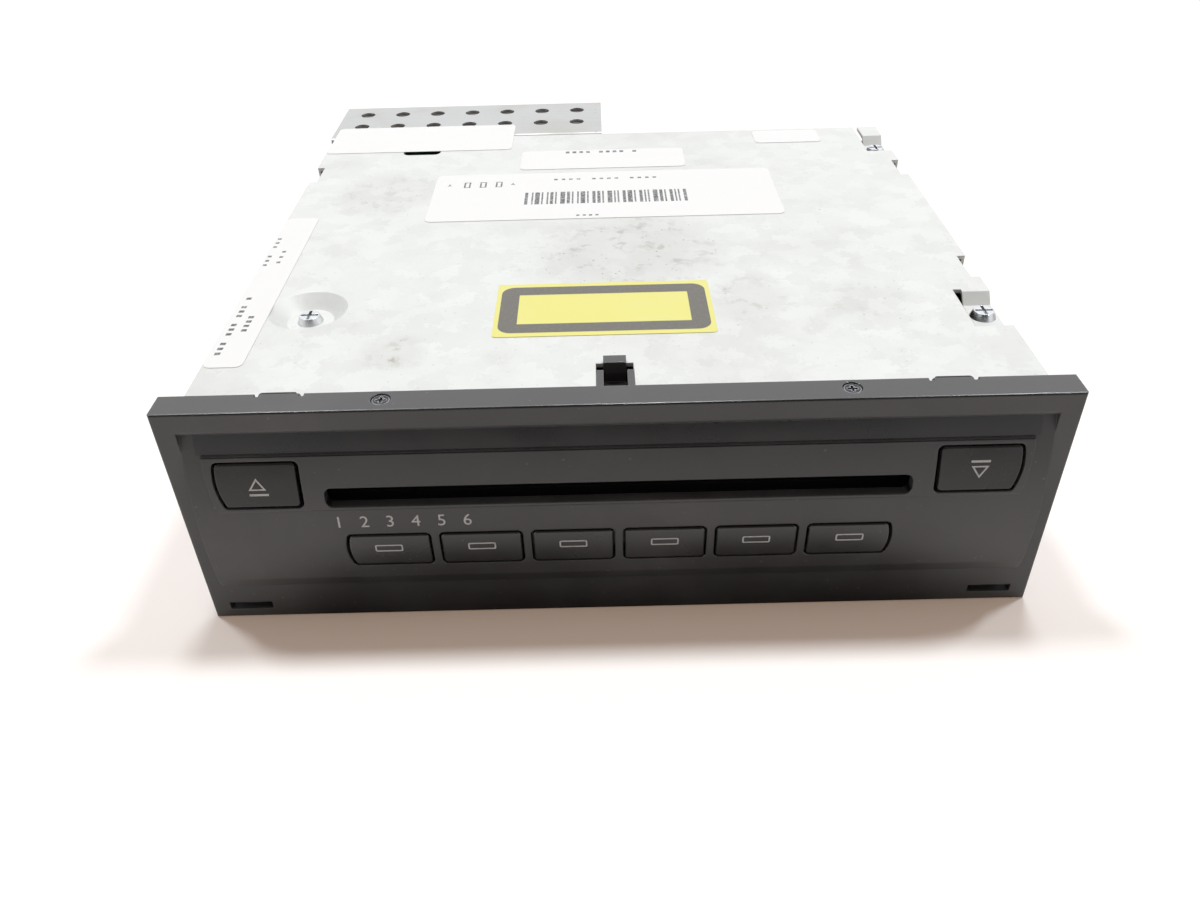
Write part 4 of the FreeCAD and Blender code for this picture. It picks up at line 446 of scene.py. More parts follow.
def moved(points, x, z):
    """Shifts a loop of points."""
    return [(px + x, pz + z) for px, pz in points]


def grown(points, factor):
    """Scales a loop of points about its middle."""
    middle_x, middle_z = [sum(point[axis] for point in points) / len(points) for axis in (0, 1)]
    return [(middle_x + (x - middle_x) * factor, middle_z + (z - middle_z) * factor) for x, z in points]


def split_like(outer, inner):
    """Splits the inner loop at the same places as the outer one."""
    result = []
    count = len(outer)
    for index in range(count):
        after = (index + 1) % count
        parts = max(1, math.ceil(math.dist(outer[index], outer[after]) / PRINT_STEP))
        for step in range(parts):
            share = step / parts
            first, second = inner[index], inner[after]
            result.append(tuple(a + (b - a) * share for a, b in zip(first, second)))
    return result


key_print = print_material()


def print_on(name, node, body, rings=(), patches=()):
    """Prints outlines and filled shapes on the front of a node."""
    tree = surface_tree(node)
    mesh = bmesh.new()

    def to_place(x, z, lift):
        return front_place(tree, x, z, lift)

    for outer, inner in rings:
        add_band(mesh, split_sides(outer, PRINT_STEP), split_like(outer, inner), to_place)
    for outline in patches:
        add_patch(mesh, split_sides(outline, PRINT_STEP), to_place)
    return finish_piece(name, mesh, key_print, body)


for node, body in DISC_KEYS.items():
    low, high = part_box(node)
    centre = ((low.x + high.x) / 2, OUTLINE_LEVEL)
    width, height = OUTLINE_SIZE
    outer = rounded_rectangle(width, height, OUTLINE_CORNER)
    inner = rounded_rectangle(width - 2 * PRINT_LINE, height - 2 * PRINT_LINE, OUTLINE_CORNER * 0.55)
    rings = [(moved(outer, *centre), moved(inner, *centre))]
    print_on(body + "_print", node, body, rings=rings)

half_width, half_height = TRIANGLE_HALF
triangle = [(-half_width, -half_height), (half_width, -half_height), (0.0, half_height)]
bar_width, bar_height = BAR_SIZE
bar = [(-bar_width / 2, -bar_height / 2), (bar_width / 2, -bar_height / 2)]
bar += [(bar_width / 2, bar_height / 2), (-bar_width / 2, bar_height / 2)]
eject_triangle = moved(triangle, *EJECT_TRIANGLE_PLACE)
eject_rings = [(eject_triangle, grown(eject_triangle, TRIANGLE_HOLE))]
eject_bar = moved(bar, *EJECT_BAR_PLACE)
print_on("eject_key_print", "eject_button", "eject_key", eject_rings, [eject_bar])
load_triangle = moved([(x, -z) for x, z in triangle], *LOAD_TRIANGLE_PLACE)
load_rings = [(load_triangle, grown(load_triangle, TRIANGLE_HOLE))]
load_bar = moved(bar, *LOAD_BAR_PLACE)
print_on("load_key_print", "load_button", "load_key", load_rings, [load_bar])

# Panel numbers.
# The same grey ink on the curved panel between the slot and the first disc keys.
PANEL_TEXT = "1   2   3   4   5   6"
PANEL_TEXT_SIZE = 0.0041
PANEL_TEXT_PLACE = (-0.0605, 0.0294)


def number_shapes(text, size, depth):
    """Mesh of plain figures, lying in the X and Y plane, closed all round."""
    curve = bpy.data.curves.new("figures", "FONT")
    curve.body = text
    curve.size = size
    curve.extrude = depth / 2
    curve.resolution_u = 3
    holder = bpy.data.objects.new("figures", curve)
    bpy.context.scene.collection.objects.link(holder)
    bpy.context.view_layer.update()
    graph = bpy.context.evaluated_depsgraph_get()
    data = bpy.data.meshes.new_from_object(holder.evaluated_get(graph))
    bpy.data.objects.remove(holder)
    bpy.data.curves.remove(curve)
    mesh = bmesh.new()
    mesh.from_mesh(data)
    bpy.data.meshes.remove(data)
    bmesh.ops.remove_doubles(mesh, verts=mesh.verts, dist=size * 1e-4)
    return mesh


panel_tree = surface_tree("fascia")
figures = number_shapes(PANEL_TEXT, PANEL_TEXT_SIZE, PRINT_LIFT + PRINT_DEPTH)
for vertex in figures.verts:
    lift = PRINT_LIFT if vertex.co.z > 0 else -PRINT_DEPTH
    x, z = PANEL_TEXT_PLACE
    vertex.co = front_place(panel_tree, x + vertex.co.x, z + vertex.co.y, lift)
finish_piece("panel_print", figures, key_print, "case")

# Rim screws and front frame.
# Black pan-head screws join the fascia rim to a pressed galvanised frame, whose ears show
# behind the rim. The steel is plain, with faint rolling lines.
SCREW_BLACK = (0.045, 0.045, 0.05, 1.0)
SCREW_WORN = (0.62, 0.62, 0.63, 1.0)
FRAME_COLOUR = (0.46, 0.465, 0.47, 1.0)
STEEL_GRIME = (0.30, 0.27, 0.23, 1.0)


def sheet_metal(name, colour, roughness, grime=0.35, edge=0.0002, worn=None):
    """Rolled or plated metal with haze, handling marks, specks and softened edges."""
    material, tree, shader = new_material(name)
    edges = use_group(tree, "soft_edges", {"Radius": edge})
    lines = use_group(tree, "grain", {"Scale": 900.0, "Stretch": (0.08, 1.0, 1.0)})
    haze = use_group(tree, "patches", {"Scale": 26.0, "Low": 0.42, "High": 0.8})
    specks = use_group(tree, "specks", {"Scale": 330.0, "Share": 0.14, "Size": 0.28})
    base = tint(tree, haze.outputs["Mask"], grime, colour, STEEL_GRIME)
    base = tint(tree, specks.outputs["Mask"], grime, base, STEEL_GRIME)
    if worn:
        base = tint(tree, edges.outputs["Edge"], 0.6, base, worn)
    streak = between(tree, lines.outputs["Height"], 0.3, 0.7, roughness - 0.05, roughness + 0.05)
    rough = math_node(tree, "ADD", streak, math_node(tree, "MULTIPLY", haze.outputs["Mask"], 0.15))
    normal = bump(tree, lines.outputs["Height"], edges.outputs["Normal"], 0.15, 0.00002)
    give_surface(tree, shader, base, rough, normal, 1.0)
    return material


dress(sheet_metal("black_screws", SCREW_BLACK, 0.24, 0.1, worn=SCREW_WORN), "rim_screws")
frame_steel = sheet_metal("frame_steel", FRAME_COLOUR, 0.4)
dress(frame_steel, "front_frame", "roller_bearing", "drive_bracket")

# Top cover.
# Folded from galvanised sheet with sunk screw dimples, a slot and two pressed tabs. The zinc
# has gone dull, with grey-brown grime, fine dark specks, faint rubs and a spot of rust.
COVER_COLOUR = (0.665, 0.68, 0.67, 1.0)
COVER_CRYSTAL = (0.62, 0.632, 0.622, 1.0)
COVER_GRIME = (0.26, 0.24, 0.21, 1.0)
COVER_SPECK = (0.10, 0.085, 0.07, 1.0)
RUST_COLOUR = (0.22, 0.15, 0.10, 1.0)
COVER_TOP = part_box("top_cover")[1].z
COVER_METALLIC = 0.35
COVER_ROUGHNESS = 0.52
CRYSTAL_SCALE = 190.0
CRYSTAL_RAGGED = (0.010, 0.010, 0.010)
RUST_PLACE = (-0.0492, -0.0722, COVER_TOP)
RUST_RADIUS = 0.0036
RUST_WOBBLE = 0.009
RUST_SCALE = 420.0
# Each stain has its place, its radius and its strength.
COVER_STAINS = (
    ((0.006, -0.020, COVER_TOP), 0.031, 0.52),
    ((0.032, -0.050, COVER_TOP), 0.014, 0.34),
    ((-0.066, 0.022, COVER_TOP), 0.018, 0.34),
    ((0.062, -0.054, COVER_TOP), 0.016, 0.20),
    ((-0.0493, -0.0722, COVER_TOP), 0.009, 0.36),
)


def make_crystals():
    """Faint crystal pattern of a zinc coat, with ragged borders."""
    tree, given, result = new_group("crystals", [("Scale", "Float", 130.0)], [("Tone", "Float")])
    place = object_place(tree)
    ragged = noise(tree, place, 420.0, 6.0, 0.7)
    shifted = vector_node(tree, "MULTIPLY_ADD", ragged.outputs["Color"], CRYSTAL_RAGGED, place)
    inputs = {"Vector": shifted.outputs[0], "Scale": given.outputs["Scale"]}
    cells = put(tree, "ShaderNodeTexVoronoi", None, inputs)
    shade = put(tree, "ShaderNodeSeparateColor", None, {"Color": cells.outputs["Color"]})
    tree.links.new(shade.outputs[0], result.inputs["Tone"])


def spot_mask(tree, place, radius, wobble, scale):
    """Mask of one uneven round mark on a surface."""
    spot = object_place(tree)
    uneven = noise(tree, spot, scale, 4.0).outputs["Fac"]
    away = vector_node(tree, "DISTANCE", spot, place).outputs["Value"]
    shift = math_node(tree, "MULTIPLY", math_node(tree, "SUBTRACT", uneven, 0.5), wobble)
    return between(tree, math_node(tree, "ADD", away, shift), radius, radius * 0.35)


def cover_material():
    """Dull galvanised sheet with its crystals, stains and marks."""
    material, tree, shader = new_material("cover_steel")
    edges = use_group(tree, "soft_edges", {"Radius": 0.0004})
    lines = use_group(tree, "grain", {"Scale": 1100.0})
    crystals = use_group(tree, "crystals", {"Scale": CRYSTAL_SCALE})
    haze = use_group(tree, "patches", {"Scale": 16.0, "Low": 0.4, "High": 0.8})
    blots = use_group(tree, "patches", {"Scale": 190.0, "Low": 0.5, "High": 0.68})
    wiped = use_group(tree, "patches", {"Scale": 60.0, "Low": 0.52, "High": 0.72})
    fine = use_group(tree, "specks", {"Scale": 900.0, "Share": 0.35, "Size": 0.34})
    coarse = use_group(tree, "specks", {"Scale": 300.0, "Share": 0.03, "Size": 0.16})
    rubs = use_group(tree, "scratches", {"Angle": 0.5, "Scale": 90.0, "Share": 0.08})
    base = mix_colour(tree, crystals.outputs["Tone"], COVER_COLOUR, COVER_CRYSTAL)
    base = tint(tree, haze.outputs["Mask"], 0.14, base, COVER_GRIME)
    base = tint(tree, wiped.outputs["Mask"], 0.07, base, COVER_GRIME)
    stain = None
    for place, radius, strength in COVER_STAINS:
        spot = spot_mask(tree, place, radius, radius * 1.3, 0.35 / radius)
        spot = math_node(tree, "MULTIPLY", spot, strength)
        stain = spot if stain is None else math_node(tree, "MAXIMUM", stain, spot)
    mottled = between(tree, blots.outputs["Mask"], 0.0, 1.0, 0.35, 1.0)
    base = tint(tree, stain, mottled, base, COVER_GRIME)
    dots = math_node(tree, "MULTIPLY_ADD", stain, 0.8, 0.15)
    base = tint(tree, fine.outputs["Mask"], dots, base, COVER_SPECK)
    base = tint(tree, rubs.outputs["Mask"], 0.25, base, COVER_GRIME)
    base = tint(tree, coarse.outputs["Mask"], 0.5, base, COVER_SPECK)
    rust = spot_mask(tree, RUST_PLACE, RUST_RADIUS, RUST_WOBBLE, RUST_SCALE)
    rust = math_node(tree, "MULTIPLY", rust, blots.outputs["Mask"])
    base = tint(tree, rust, 0.75, base, RUST_COLOUR)
    rough = math_node(tree, "MULTIPLY_ADD", crystals.outputs["Tone"], 0.08, COVER_ROUGHNESS)
    rough = math_node(tree, "MULTIPLY_ADD", haze.outputs["Mask"], 0.1, rough)
    normal = bump(tree, lines.outputs["Height"], edges.outputs["Normal"], 0.12, 0.00003)
    metal = math_node(tree, "MULTIPLY_ADD", rust, -COVER_METALLIC, COVER_METALLIC)
    give_surface(tree, shader, base, rough, normal, metal)
    return material


make_crystals()
dress(cover_material(), "top_cover")

# Cover and bracket screws.
# Bright zinc pan-head screws, with grey grime in the cross recess.
ZINC_COLOUR = (0.58, 0.59, 0.60, 1.0)
dress(sheet_metal("zinc_screws", ZINC_COLOUR, 0.28, 0.3, 0.00015), "cover_screws", "bracket_screws")

# White stickers.
# Five labels with rounded corners, stuck on the cover and the rear bracket. The paper is
# coated and a little soiled.
PAPER_COLOUR = (0.81, 0.822, 0.835, 1.0)
PAPER_SHADE = (0.70, 0.69, 0.66, 1.0)
INK_COLOUR = (0.06, 0.06, 0.062, 1.0)
STICKER_CORNER = 0.0018
INK_LIFT = 0.00001
INK_DEPTH = 0.00004


def paper_material():
    """Coated label paper, a little soiled."""
    material, tree, shader = new_material("label_paper")
    edges = use_group(tree, "soft_edges", {"Radius": 0.00008})
    fibre = use_group(tree, "grain", {"Scale": 1500.0})
    soil = use_group(tree, "patches", {"Scale": 40.0, "Low": 0.5, "High": 0.9})
    base = tint(tree, soil.outputs["Mask"], 0.3, PAPER_COLOUR, PAPER_SHADE)
    normal = bump(tree, fibre.outputs["Height"], edges.outputs["Normal"], 0.1, 0.00002)
    give_surface(tree, shader, base, 0.5, normal)
    return material


def ink_material(name, colour, fading=0.62, beneath=PAPER_COLOUR):
    """Thermal or offset ink with small gaps."""
    material, tree, shader = new_material(name)
    gaps = use_group(tree, "patches", {"Scale": 1200.0, "Low": 0.4, "High": 0.75})
    fade = math_node(tree, "MULTIPLY", gaps.outputs["Mask"], fading)
    give_surface(tree, shader, mix_colour(tree, fade, colour, beneath), 0.5)
    return material


def islands(name):
    """Lowest and highest corners of each separate solid of a CAD node."""
    mesh = bmesh.new()
    mesh.from_mesh(nodes[name].data)
    bmesh.ops.remove_doubles(mesh, verts=mesh.verts, dist=1e-6)
    waiting = set(mesh.verts)
    boxes = []
    while waiting:
        front = [waiting.pop()]
        found = []
        while front:
            vertex = front.pop()
            found.append(vertex.co.copy())
            near = {edge.other_vert(vertex) for edge in vertex.link_edges} & waiting
            waiting -= near
            front.extend(near)
        low = Vector(min(point[axis] for point in found) for axis in range(3))
        high = Vector(max(point[axis] for point in found) for axis in range(3))
        boxes.append((low, high))
    mesh.free()
    return sorted(boxes, key=lambda box: (round(box[0].x, 4), round(box[0].y, 4)))


def add_prism(mesh, outline, low, high):
    """Adds a flat closed prism with a given outline."""
    bottom = [mesh.verts.new((x, y, low)) for x, y in outline]
    top = [mesh.verts.new((x, y, high)) for x, y in outline]
    mesh.faces.new(list(reversed(bottom)))
    mesh.faces.new(top)
    for index in range(len(outline)):
        after = (index + 1) % len(outline)
        mesh.faces.new((bottom[index], bottom[after], top[after], top[index]))


def rectangle(x0, y0, x1, y1):
    """Four corners of a rectangle."""
    return [(x0, y0), (x1, y0), (x1, y1), (x0, y1)]


sticker_boxes = islands("white_stickers")
STICKER_TOP = sticker_boxes[0][1].z - 0.00002
sheets = bmesh.new()
for low, high in sticker_boxes:
    size = (high.x - low.x, high.y - low.y)
    middle = ((high.x + low.x) / 2, (high.y + low.y) / 2)
    outline = moved(rounded_rectangle(*size, STICKER_CORNER), *middle)
    add_prism(sheets, outline, low.z, STICKER_TOP)
stickers = finish_piece("paper_stickers", sheets, paper_material(), "case")
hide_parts("white_stickers")

# Sticker printing.
# Thermal print in faded black ink: bars, rows of short dashes, three open squares and a small
# mark on each side of them. The narrow label on the left has its rows turned by a quarter.
BARS_BOX = (-0.0243, 0.0108, 0.0238, 0.0197)
BAR_WIDTHS = (2, 1, 3, 1, 1, 2, 1, 3, 2, 1, 1, 3, 1, 2, 2, 1, 3, 1, 1, 2, 3, 1, 2, 1, 1, 3, 2, 1, 2, 1, 1, 2)
SQUARE_PLACES = (-0.0432, -0.0384, -0.0336)
SQUARE_LEVELS = (0.0246, 0.0250, 0.0284, 0.0288)
SQUARE_WIDTH = 0.0020
SQUARE_LINE = 0.0005
MARK_PLACES = (-0.0482, -0.0290)
MARK_LEVELS = (0.0262, 0.0266, 0.0276)
MARK_WIDTH = 0.0012
MARK_LINE = 0.0004
# Each row has its start, end and level, the length, gap and height of a dash, and the number
# of dashes in a group.
ROWS = (
    (-0.0160, 0.0195, 0.0290, 0.0011, 0.0012, 0.0011, 4),
    (-0.0090, -0.0025, 0.0018, 0.0009, 0.0009, 0.0009, 4),
    (-0.0128, 0.0112, 0.0518, 0.0012, 0.0010, 0.0016, 4),
)
TURNED_ROWS = (
    (-0.0705, -0.0410, 0.0889, 0.0011, 0.0011, 0.0013, 3),
    (-0.0600, -0.0515, 0.0858, 0.0011, 0.0010, 0.0013, 5),
    (-0.0255, -0.0070, 0.0900, 0.0010, 0.0016, 0.0010, 3),
    (-0.0240, -0.0105, 0.0868, 0.0010, 0.0022, 0.0010, 3),
)
GROUP_GAP = 3.0


def bar_rectangles(x0, y0, x1, y1):
    """Bars of several widths that fill a length."""
    unit = (x1 - x0) / (sum(BAR_WIDTHS) + len(BAR_WIDTHS) * 1.6)
    place = x0
    found = []
    for index, width in enumerate(BAR_WIDTHS):
        found.append(rectangle(place, y0, place + width * unit, y1))
        place += (width + (1.2 if index % 3 else 2.4)) * unit
    return found


def dash_rectangles(x0, x1, y, length, gap, height, group):
    """A row of short dashes with a wider gap after every group."""
    place = x0
    index = 0
    found = []
    while place + length < x1:
        found.append(rectangle(place, y, place + length, y + height))
        index += 1
        place += length + gap * (GROUP_GAP if index % group == 0 else 1.0)
    return found


def square_rectangles(x):
    """Four strokes of an open square."""
    bottom, inner_bottom, inner_top, top = SQUARE_LEVELS
    right = x + SQUARE_WIDTH
    return [
        rectangle(x, bottom, right, inner_bottom),
        rectangle(x, inner_top, right, top),
        rectangle(x, inner_bottom, x + SQUARE_LINE, inner_top),
        rectangle(right - SQUARE_LINE, inner_bottom, right, inner_top),
    ]


def mark_rectangles(x):
    """A short bar with a stem on it."""
    bottom, middle, top = MARK_LEVELS
    stem = x + (MARK_WIDTH - MARK_LINE) / 2
    return [rectangle(x, bottom, x + MARK_WIDTH, middle), rectangle(stem, middle, stem + MARK_LINE, top)]


outlines = bar_rectangles(*BARS_BOX)
for place in SQUARE_PLACES:
    outlines += square_rectangles(place)
for place in MARK_PLACES:
    outlines += mark_rectangles(place)
for row in ROWS:
    outlines += dash_rectangles(*row)
for row in TURNED_ROWS:
    outlines += [[(-y, x) for x, y in outline] for outline in dash_rectangles(*row)]
marks = bmesh.new()
for outline in outlines:
    add_prism(marks, outline, STICKER_TOP - INK_DEPTH, STICKER_TOP + INK_LIFT)
label_ink = ink_material("label_ink", INK_COLOUR)
finish_piece("sticker_marks", marks, label_ink, "case")

# Yellow sticker.
# A yellow plastic film with a dark printed frame, rounded at its outer corners, round a bare
# yellow middle. It lies flat on the cover behind the rim.
YELLOW_COLOUR = (0.75, 0.72, 0.21, 1.0)
YELLOW_FADED = (0.75, 0.735, 0.28, 1.0)
YELLOW_FRAME_COLOUR = (0.125, 0.118, 0.108, 1.0)
FILM_CORNER = 0.0010
FRAME_CORNER = 0.0032
FRAME_MARGIN = (0.0011, 0.0017)
FRAME_WIDTH = (0.0044, 0.0041)
HOLE_CORNER = 0.0002


def film_material():
    """Yellow film, a little faded."""
    material, tree, shader = new_material("yellow_film")
    edges = use_group(tree, "soft_edges", {"Radius": 0.00008})
    fading = use_group(tree, "patches", {"Scale": 50.0, "Low": 0.4, "High": 0.8})
    base = tint(tree, fading.outputs["Mask"], 0.6, YELLOW_COLOUR, YELLOW_FADED)
    fibre = use_group(tree, "grain", {"Scale": 900.0})
    normal = bump(tree, fibre.outputs["Height"], edges.outputs["Normal"], 0.08, 0.00002)
    give_surface(tree, shader, base, 0.38, normal)
    return material


def flat_place(x, y, lift):
    """Point on or just under the film."""
    return Vector((x, y, STICKER_TOP + (INK_LIFT if lift > 0 else -INK_DEPTH)))


low, high = islands("yellow_sticker")[0]
film = bmesh.new()
size = (high.x - low.x, high.y - low.y)
middle = ((high.x + low.x) / 2, (high.y + low.y) / 2)
add_prism(film, moved(rounded_rectangle(*size, FILM_CORNER), *middle), low.z, STICKER_TOP)
yellow = finish_piece("yellow_film", film, film_material(), "case")
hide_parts("yellow_sticker")
frame_size = [size[axis] - 2 * FRAME_MARGIN[axis] for axis in (0, 1)]
hole_size = [frame_size[axis] - 2 * FRAME_WIDTH[axis] for axis in (0, 1)]
outer = moved(rounded_rectangle(*frame_size, FRAME_CORNER), *middle)
inner = moved(rounded_rectangle(*hole_size, HOLE_CORNER), *middle)
band = bmesh.new()
add_band(band, outer, inner, flat_place)
frame_ink = ink_material("frame_ink", YELLOW_FRAME_COLOUR, 0.05, YELLOW_FADED)
finish_piece("yellow_film_frame", band, frame_ink, "case")

# Bottom pan and rear bracket.
# Both are folded from galvanised sheet, duller than the cover. The bracket's two rows of
# punched holes take the car's own screws.
PAN_COLOUR = (0.46, 0.465, 0.465, 1.0)
BRACKET_COLOUR = (0.42, 0.42, 0.41, 1.0)
dress(sheet_metal("pan_steel", PAN_COLOUR, 0.48), "bottom_pan")
dress(sheet_metal("bracket_steel", BRACKET_COLOUR, 0.5, 0.5), "perforated_bracket")

# Shade backing strip and pads.
# Painted shade: a dark fibrous strip under the perforated plate, so that its holes look dark, and
# two small dark pads on the pan behind the slots for the release keys, so that the slots look dark.
BACKING_SHADE_COLOUR = (0.085, 0.083, 0.080, 1.0)
BACKING_SHADE_TUFTS = (0.16, 0.155, 0.15, 1.0)
BACKING_STRIP_PLACE = (-0.0914, 0.0748, -0.0024, 0.1030)
BACKING_STRIP_LEVELS = (0.0515, 0.0521)
PAD_PLACES = ((-0.0900, -0.0790), (0.0790, 0.0900))
PAD_DEPTHS = (-0.0950, -0.0927)
PAD_LEVELS = (0.0012, 0.0056)
BACKING_STRIP_CORNER = 0.0012
PAD_CORNER = 0.0006


def shade_backing_material():
    """Dark fibrous sheet, put where there is only shade, as painted shade."""
    material, tree, shader = new_material("painted_shade_backing")
    fibre = use_group(tree, "grain", {"Scale": 1800.0, "Stretch": (0.4, 1.0, 1.0)})
    tufts = use_group(tree, "patches", {"Scale": 260.0, "Low": 0.4, "High": 0.7})
    base = mix_colour(tree, tufts.outputs["Mask"], BACKING_SHADE_COLOUR, BACKING_SHADE_TUFTS)
    flat = tree.nodes.new("ShaderNodeNewGeometry").outputs["Normal"]
    normal = bump(tree, fibre.outputs["Height"], flat, 0.6, 0.0002)
    give_surface(tree, shader, base, 0.95, normal)
    shader.inputs["Sheen Weight"].default_value = 0.3
    return material


def outline_between(x0, y0, x1, y1, corner):
    """Rounded rectangle between two corners."""
    shape = rounded_rectangle(x1 - x0, y1 - y0, corner)
    return moved(shape, (x0 + x1) / 2, (y0 + y1) / 2)


# Dark sheets of painted shade behind the bracket holes and the release-key slots.
painted_shade_backing = shade_backing_material()
backing = bmesh.new()
add_prism(backing, outline_between(*BACKING_STRIP_PLACE, BACKING_STRIP_CORNER), *BACKING_STRIP_LEVELS)
finish_piece("shade_backing_strip", backing, painted_shade_backing, "case")
pads = bmesh.new()
y0, y1 = PAD_DEPTHS
for x0, x1 in PAD_PLACES:
    add_prism(pads, outline_between(x0, y0, x1, y1, PAD_CORNER), *PAD_LEVELS)
finish_piece("shade_backing_pads", pads, painted_shade_backing, "case")

# Cover catches.
# Two tongues of the fascia's own plastic press on the cover's front edge, between its notches.
CATCH_SPANS = ((-0.0753, -0.0673), (0.0672, 0.0752))
CATCH_DEPTHS = (-0.0925, -0.0873)
CATCH_LEVELS = (0.0531, 0.0537)
CATCH_CORNER = 0.0007
catch_plastic = moulded_plastic("catch_plastic", KEY_COLOUR, KEY_WORN_COLOUR, 0.7, shine=0.2)
catches = bmesh.new()
y0, y1 = CATCH_DEPTHS
for x0, x1 in CATCH_SPANS:
    add_prism(catches, outline_between(x0, y0, x1, y1, CATCH_CORNER), *CATCH_LEVELS)
finish_piece("cover_catches", catches, catch_plastic, "case")

# Release springs.
# Hardened steel strips along both sides. They hold the unit in the dashboard.
SPRING_COLOUR = (0.42, 0.42, 0.43, 1.0)
spring_steel = sheet_metal("spring_steel", SPRING_COLOUR, 0.3, 0.25)
dress(spring_steel, "release_spring_left", "release_spring_right")

# Disc guide, trays and turntable.
# Black injection-moulded pieces in the path of the disc. They are satin where discs rub.
GUIDE_COLOUR = (0.035, 0.035, 0.036, 1.0)
TRAY_COLOUR = (0.055, 0.055, 0.06, 1.0)
BLACK_WORN = (0.12, 0.12, 0.125, 1.0)
dress(moulded_plastic("guide_plastic", GUIDE_COLOUR, BLACK_WORN, 0.45), "disc_guide")
tray_plastic = moulded_plastic("tray_plastic", TRAY_COLOUR, BLACK_WORN, 0.36, 0.15)
dress(tray_plastic, *[f"disc_tray_{number}" for number in range(1, 7)])
dress(moulded_plastic("turntable_plastic", GUIDE_COLOUR, BLACK_WORN, 0.4, 0.1), "turntable")

# Roller and other rubber.
# The roller's sleeve, the keypad, the four dampers and the toothed belt are black rubber or
# dark silicone, dull and slightly dusty.
ROLLER_COLOUR = (0.028, 0.028, 0.028, 1.0)
KEYPAD_COLOUR = (0.012, 0.012, 0.013, 1.0)
RUBBER_DUST = (0.05, 0.048, 0.045, 1.0)


def rubber(name, colour, roughness):
    """Soft rubber with dust in its pores."""
    material, tree, shader = new_material(name)
    edges = use_group(tree, "soft_edges", {"Radius": 0.0003})
    pores = use_group(tree, "grain", {"Scale": 1400.0})
    dust = use_group(tree, "patches", {"Scale": 80.0, "Low": 0.5, "High": 0.9})
    base = tint(tree, dust.outputs["Mask"], 0.3, colour, RUBBER_DUST)
    normal = bump(tree, pores.outputs["Height"], edges.outputs["Normal"], 0.3, 0.00004)
    give_surface(tree, shader, base, roughness, normal)
    return material


dress(rubber("roller_rubber", ROLLER_COLOUR, 0.7), "roller_sleeve")
dress(rubber("keypad_silicone", KEYPAD_COLOUR, 0.6), "keypad_mat", "rubber_dampers")
dress(rubber("belt_rubber", ROLLER_COLOUR, 0.62), "lift_belt")

# Gears and pulley.
# Natural white acetal, slightly yellowed, with a thin film of grease.
GEAR_COLOUR = (0.78, 0.75, 0.66, 1.0)
GEAR_GREASE = (0.55, 0.48, 0.34, 1.0)
gear_plastic = moulded_plastic("gear_plastic", GEAR_COLOUR, GEAR_GREASE, 0.34, 0.1)
dress(gear_plastic, "roller_gear", "idler_gear", "motor_pinion", "drive_pulley")

# Shafts, screws, nuts and motors.
# Ground steel shafts and rods, turned lift screws, brass nuts and plated motor cans.
SHAFT_COLOUR = (0.68, 0.68, 0.69, 1.0)
LIFT_SCREW_COLOUR = (0.60, 0.60, 0.60, 1.0)
BRASS_COLOUR = (0.78, 0.56, 0.26, 1.0)
MOTOR_COLOUR = (0.62, 0.62, 0.64, 1.0)
shaft_steel = sheet_metal("shaft_steel", SHAFT_COLOUR, 0.2, 0.12)
dress(shaft_steel, "roller_shaft", "guide_rods", "sled_screw")
lift_steel = sheet_metal("lift_steel", LIFT_SCREW_COLOUR, 0.32, 0.3)
dress(lift_steel, *[f"lift_screw_{number}" for number in range(1, 5)])
dress(sheet_metal("nut_brass", BRASS_COLOUR, 0.3, 0.2), "tray_nuts")
motor_steel = sheet_metal("motor_steel", MOTOR_COLOUR, 0.3, 0.2)
dress(motor_steel, "loading_motor", "lift_motor", "spindle_motor", "sled_motor")

# Mechanism base and arm.
# A pressed steel base on rubber dampers, a pressed aluminium arm and a cast sled.
BASE_COLOUR = (0.58, 0.59, 0.60, 1.0)
ARM_COLOUR = (0.66, 0.66, 0.67, 1.0)
SLED_COLOUR = (0.42, 0.42, 0.43, 1.0)
dress(sheet_metal("base_steel", BASE_COLOUR, 0.42, 0.3), "mechanism_base")
dress(sheet_metal("arm_aluminium", ARM_COLOUR, 0.38, 0.15), "traverse_arm")
dress(sheet_metal("sled_alloy", SLED_COLOUR, 0.5, 0.2), "pickup_sled")

# Pickup lens.
# A small moulded lens with a blue-violet coating, held in the sled.
LENS_COLOUR = (0.62, 0.70, 0.86, 1.0)
LENS_TINT = (0.45, 0.40, 0.80, 1.0)
lens, lens_tree, lens_shader = new_material("lens_glass")
lens_tone = use_group(lens_tree, "patches", {"Scale": 200.0})
lens_base = mix_colour(lens_tree, lens_tone.outputs["Mask"], LENS_COLOUR, LENS_TINT)
give_surface(lens_tree, lens_shader, lens_base, 0.06)
lens_shader.inputs["Transmission Weight"].default_value = 0.6
lens_shader.inputs["Coat Weight"].default_value = 1.0
dress(lens, "pickup_lens")

# Circuit boards, their parts and the flat cable.
# Glass-fibre boards under green solder mask, black moulded packages, and a white flat cable
# with faint conductor lines.
BOARD_COLOUR = (0.02, 0.13, 0.055, 1.0)
BOARD_TRACK = (0.04, 0.22, 0.09, 1.0)
MASK_BLACK = (0.012, 0.012, 0.013, 1.0)
MASK_TRACK = (0.022, 0.022, 0.023, 1.0)
PACKAGE_COLOUR = (0.04, 0.04, 0.042, 1.0)
RIBBON_COLOUR = (0.82, 0.82, 0.79, 1.0)
RIBBON_LINE = (0.55, 0.55, 0.53, 1.0)
RIBBON_PITCH = 0.001


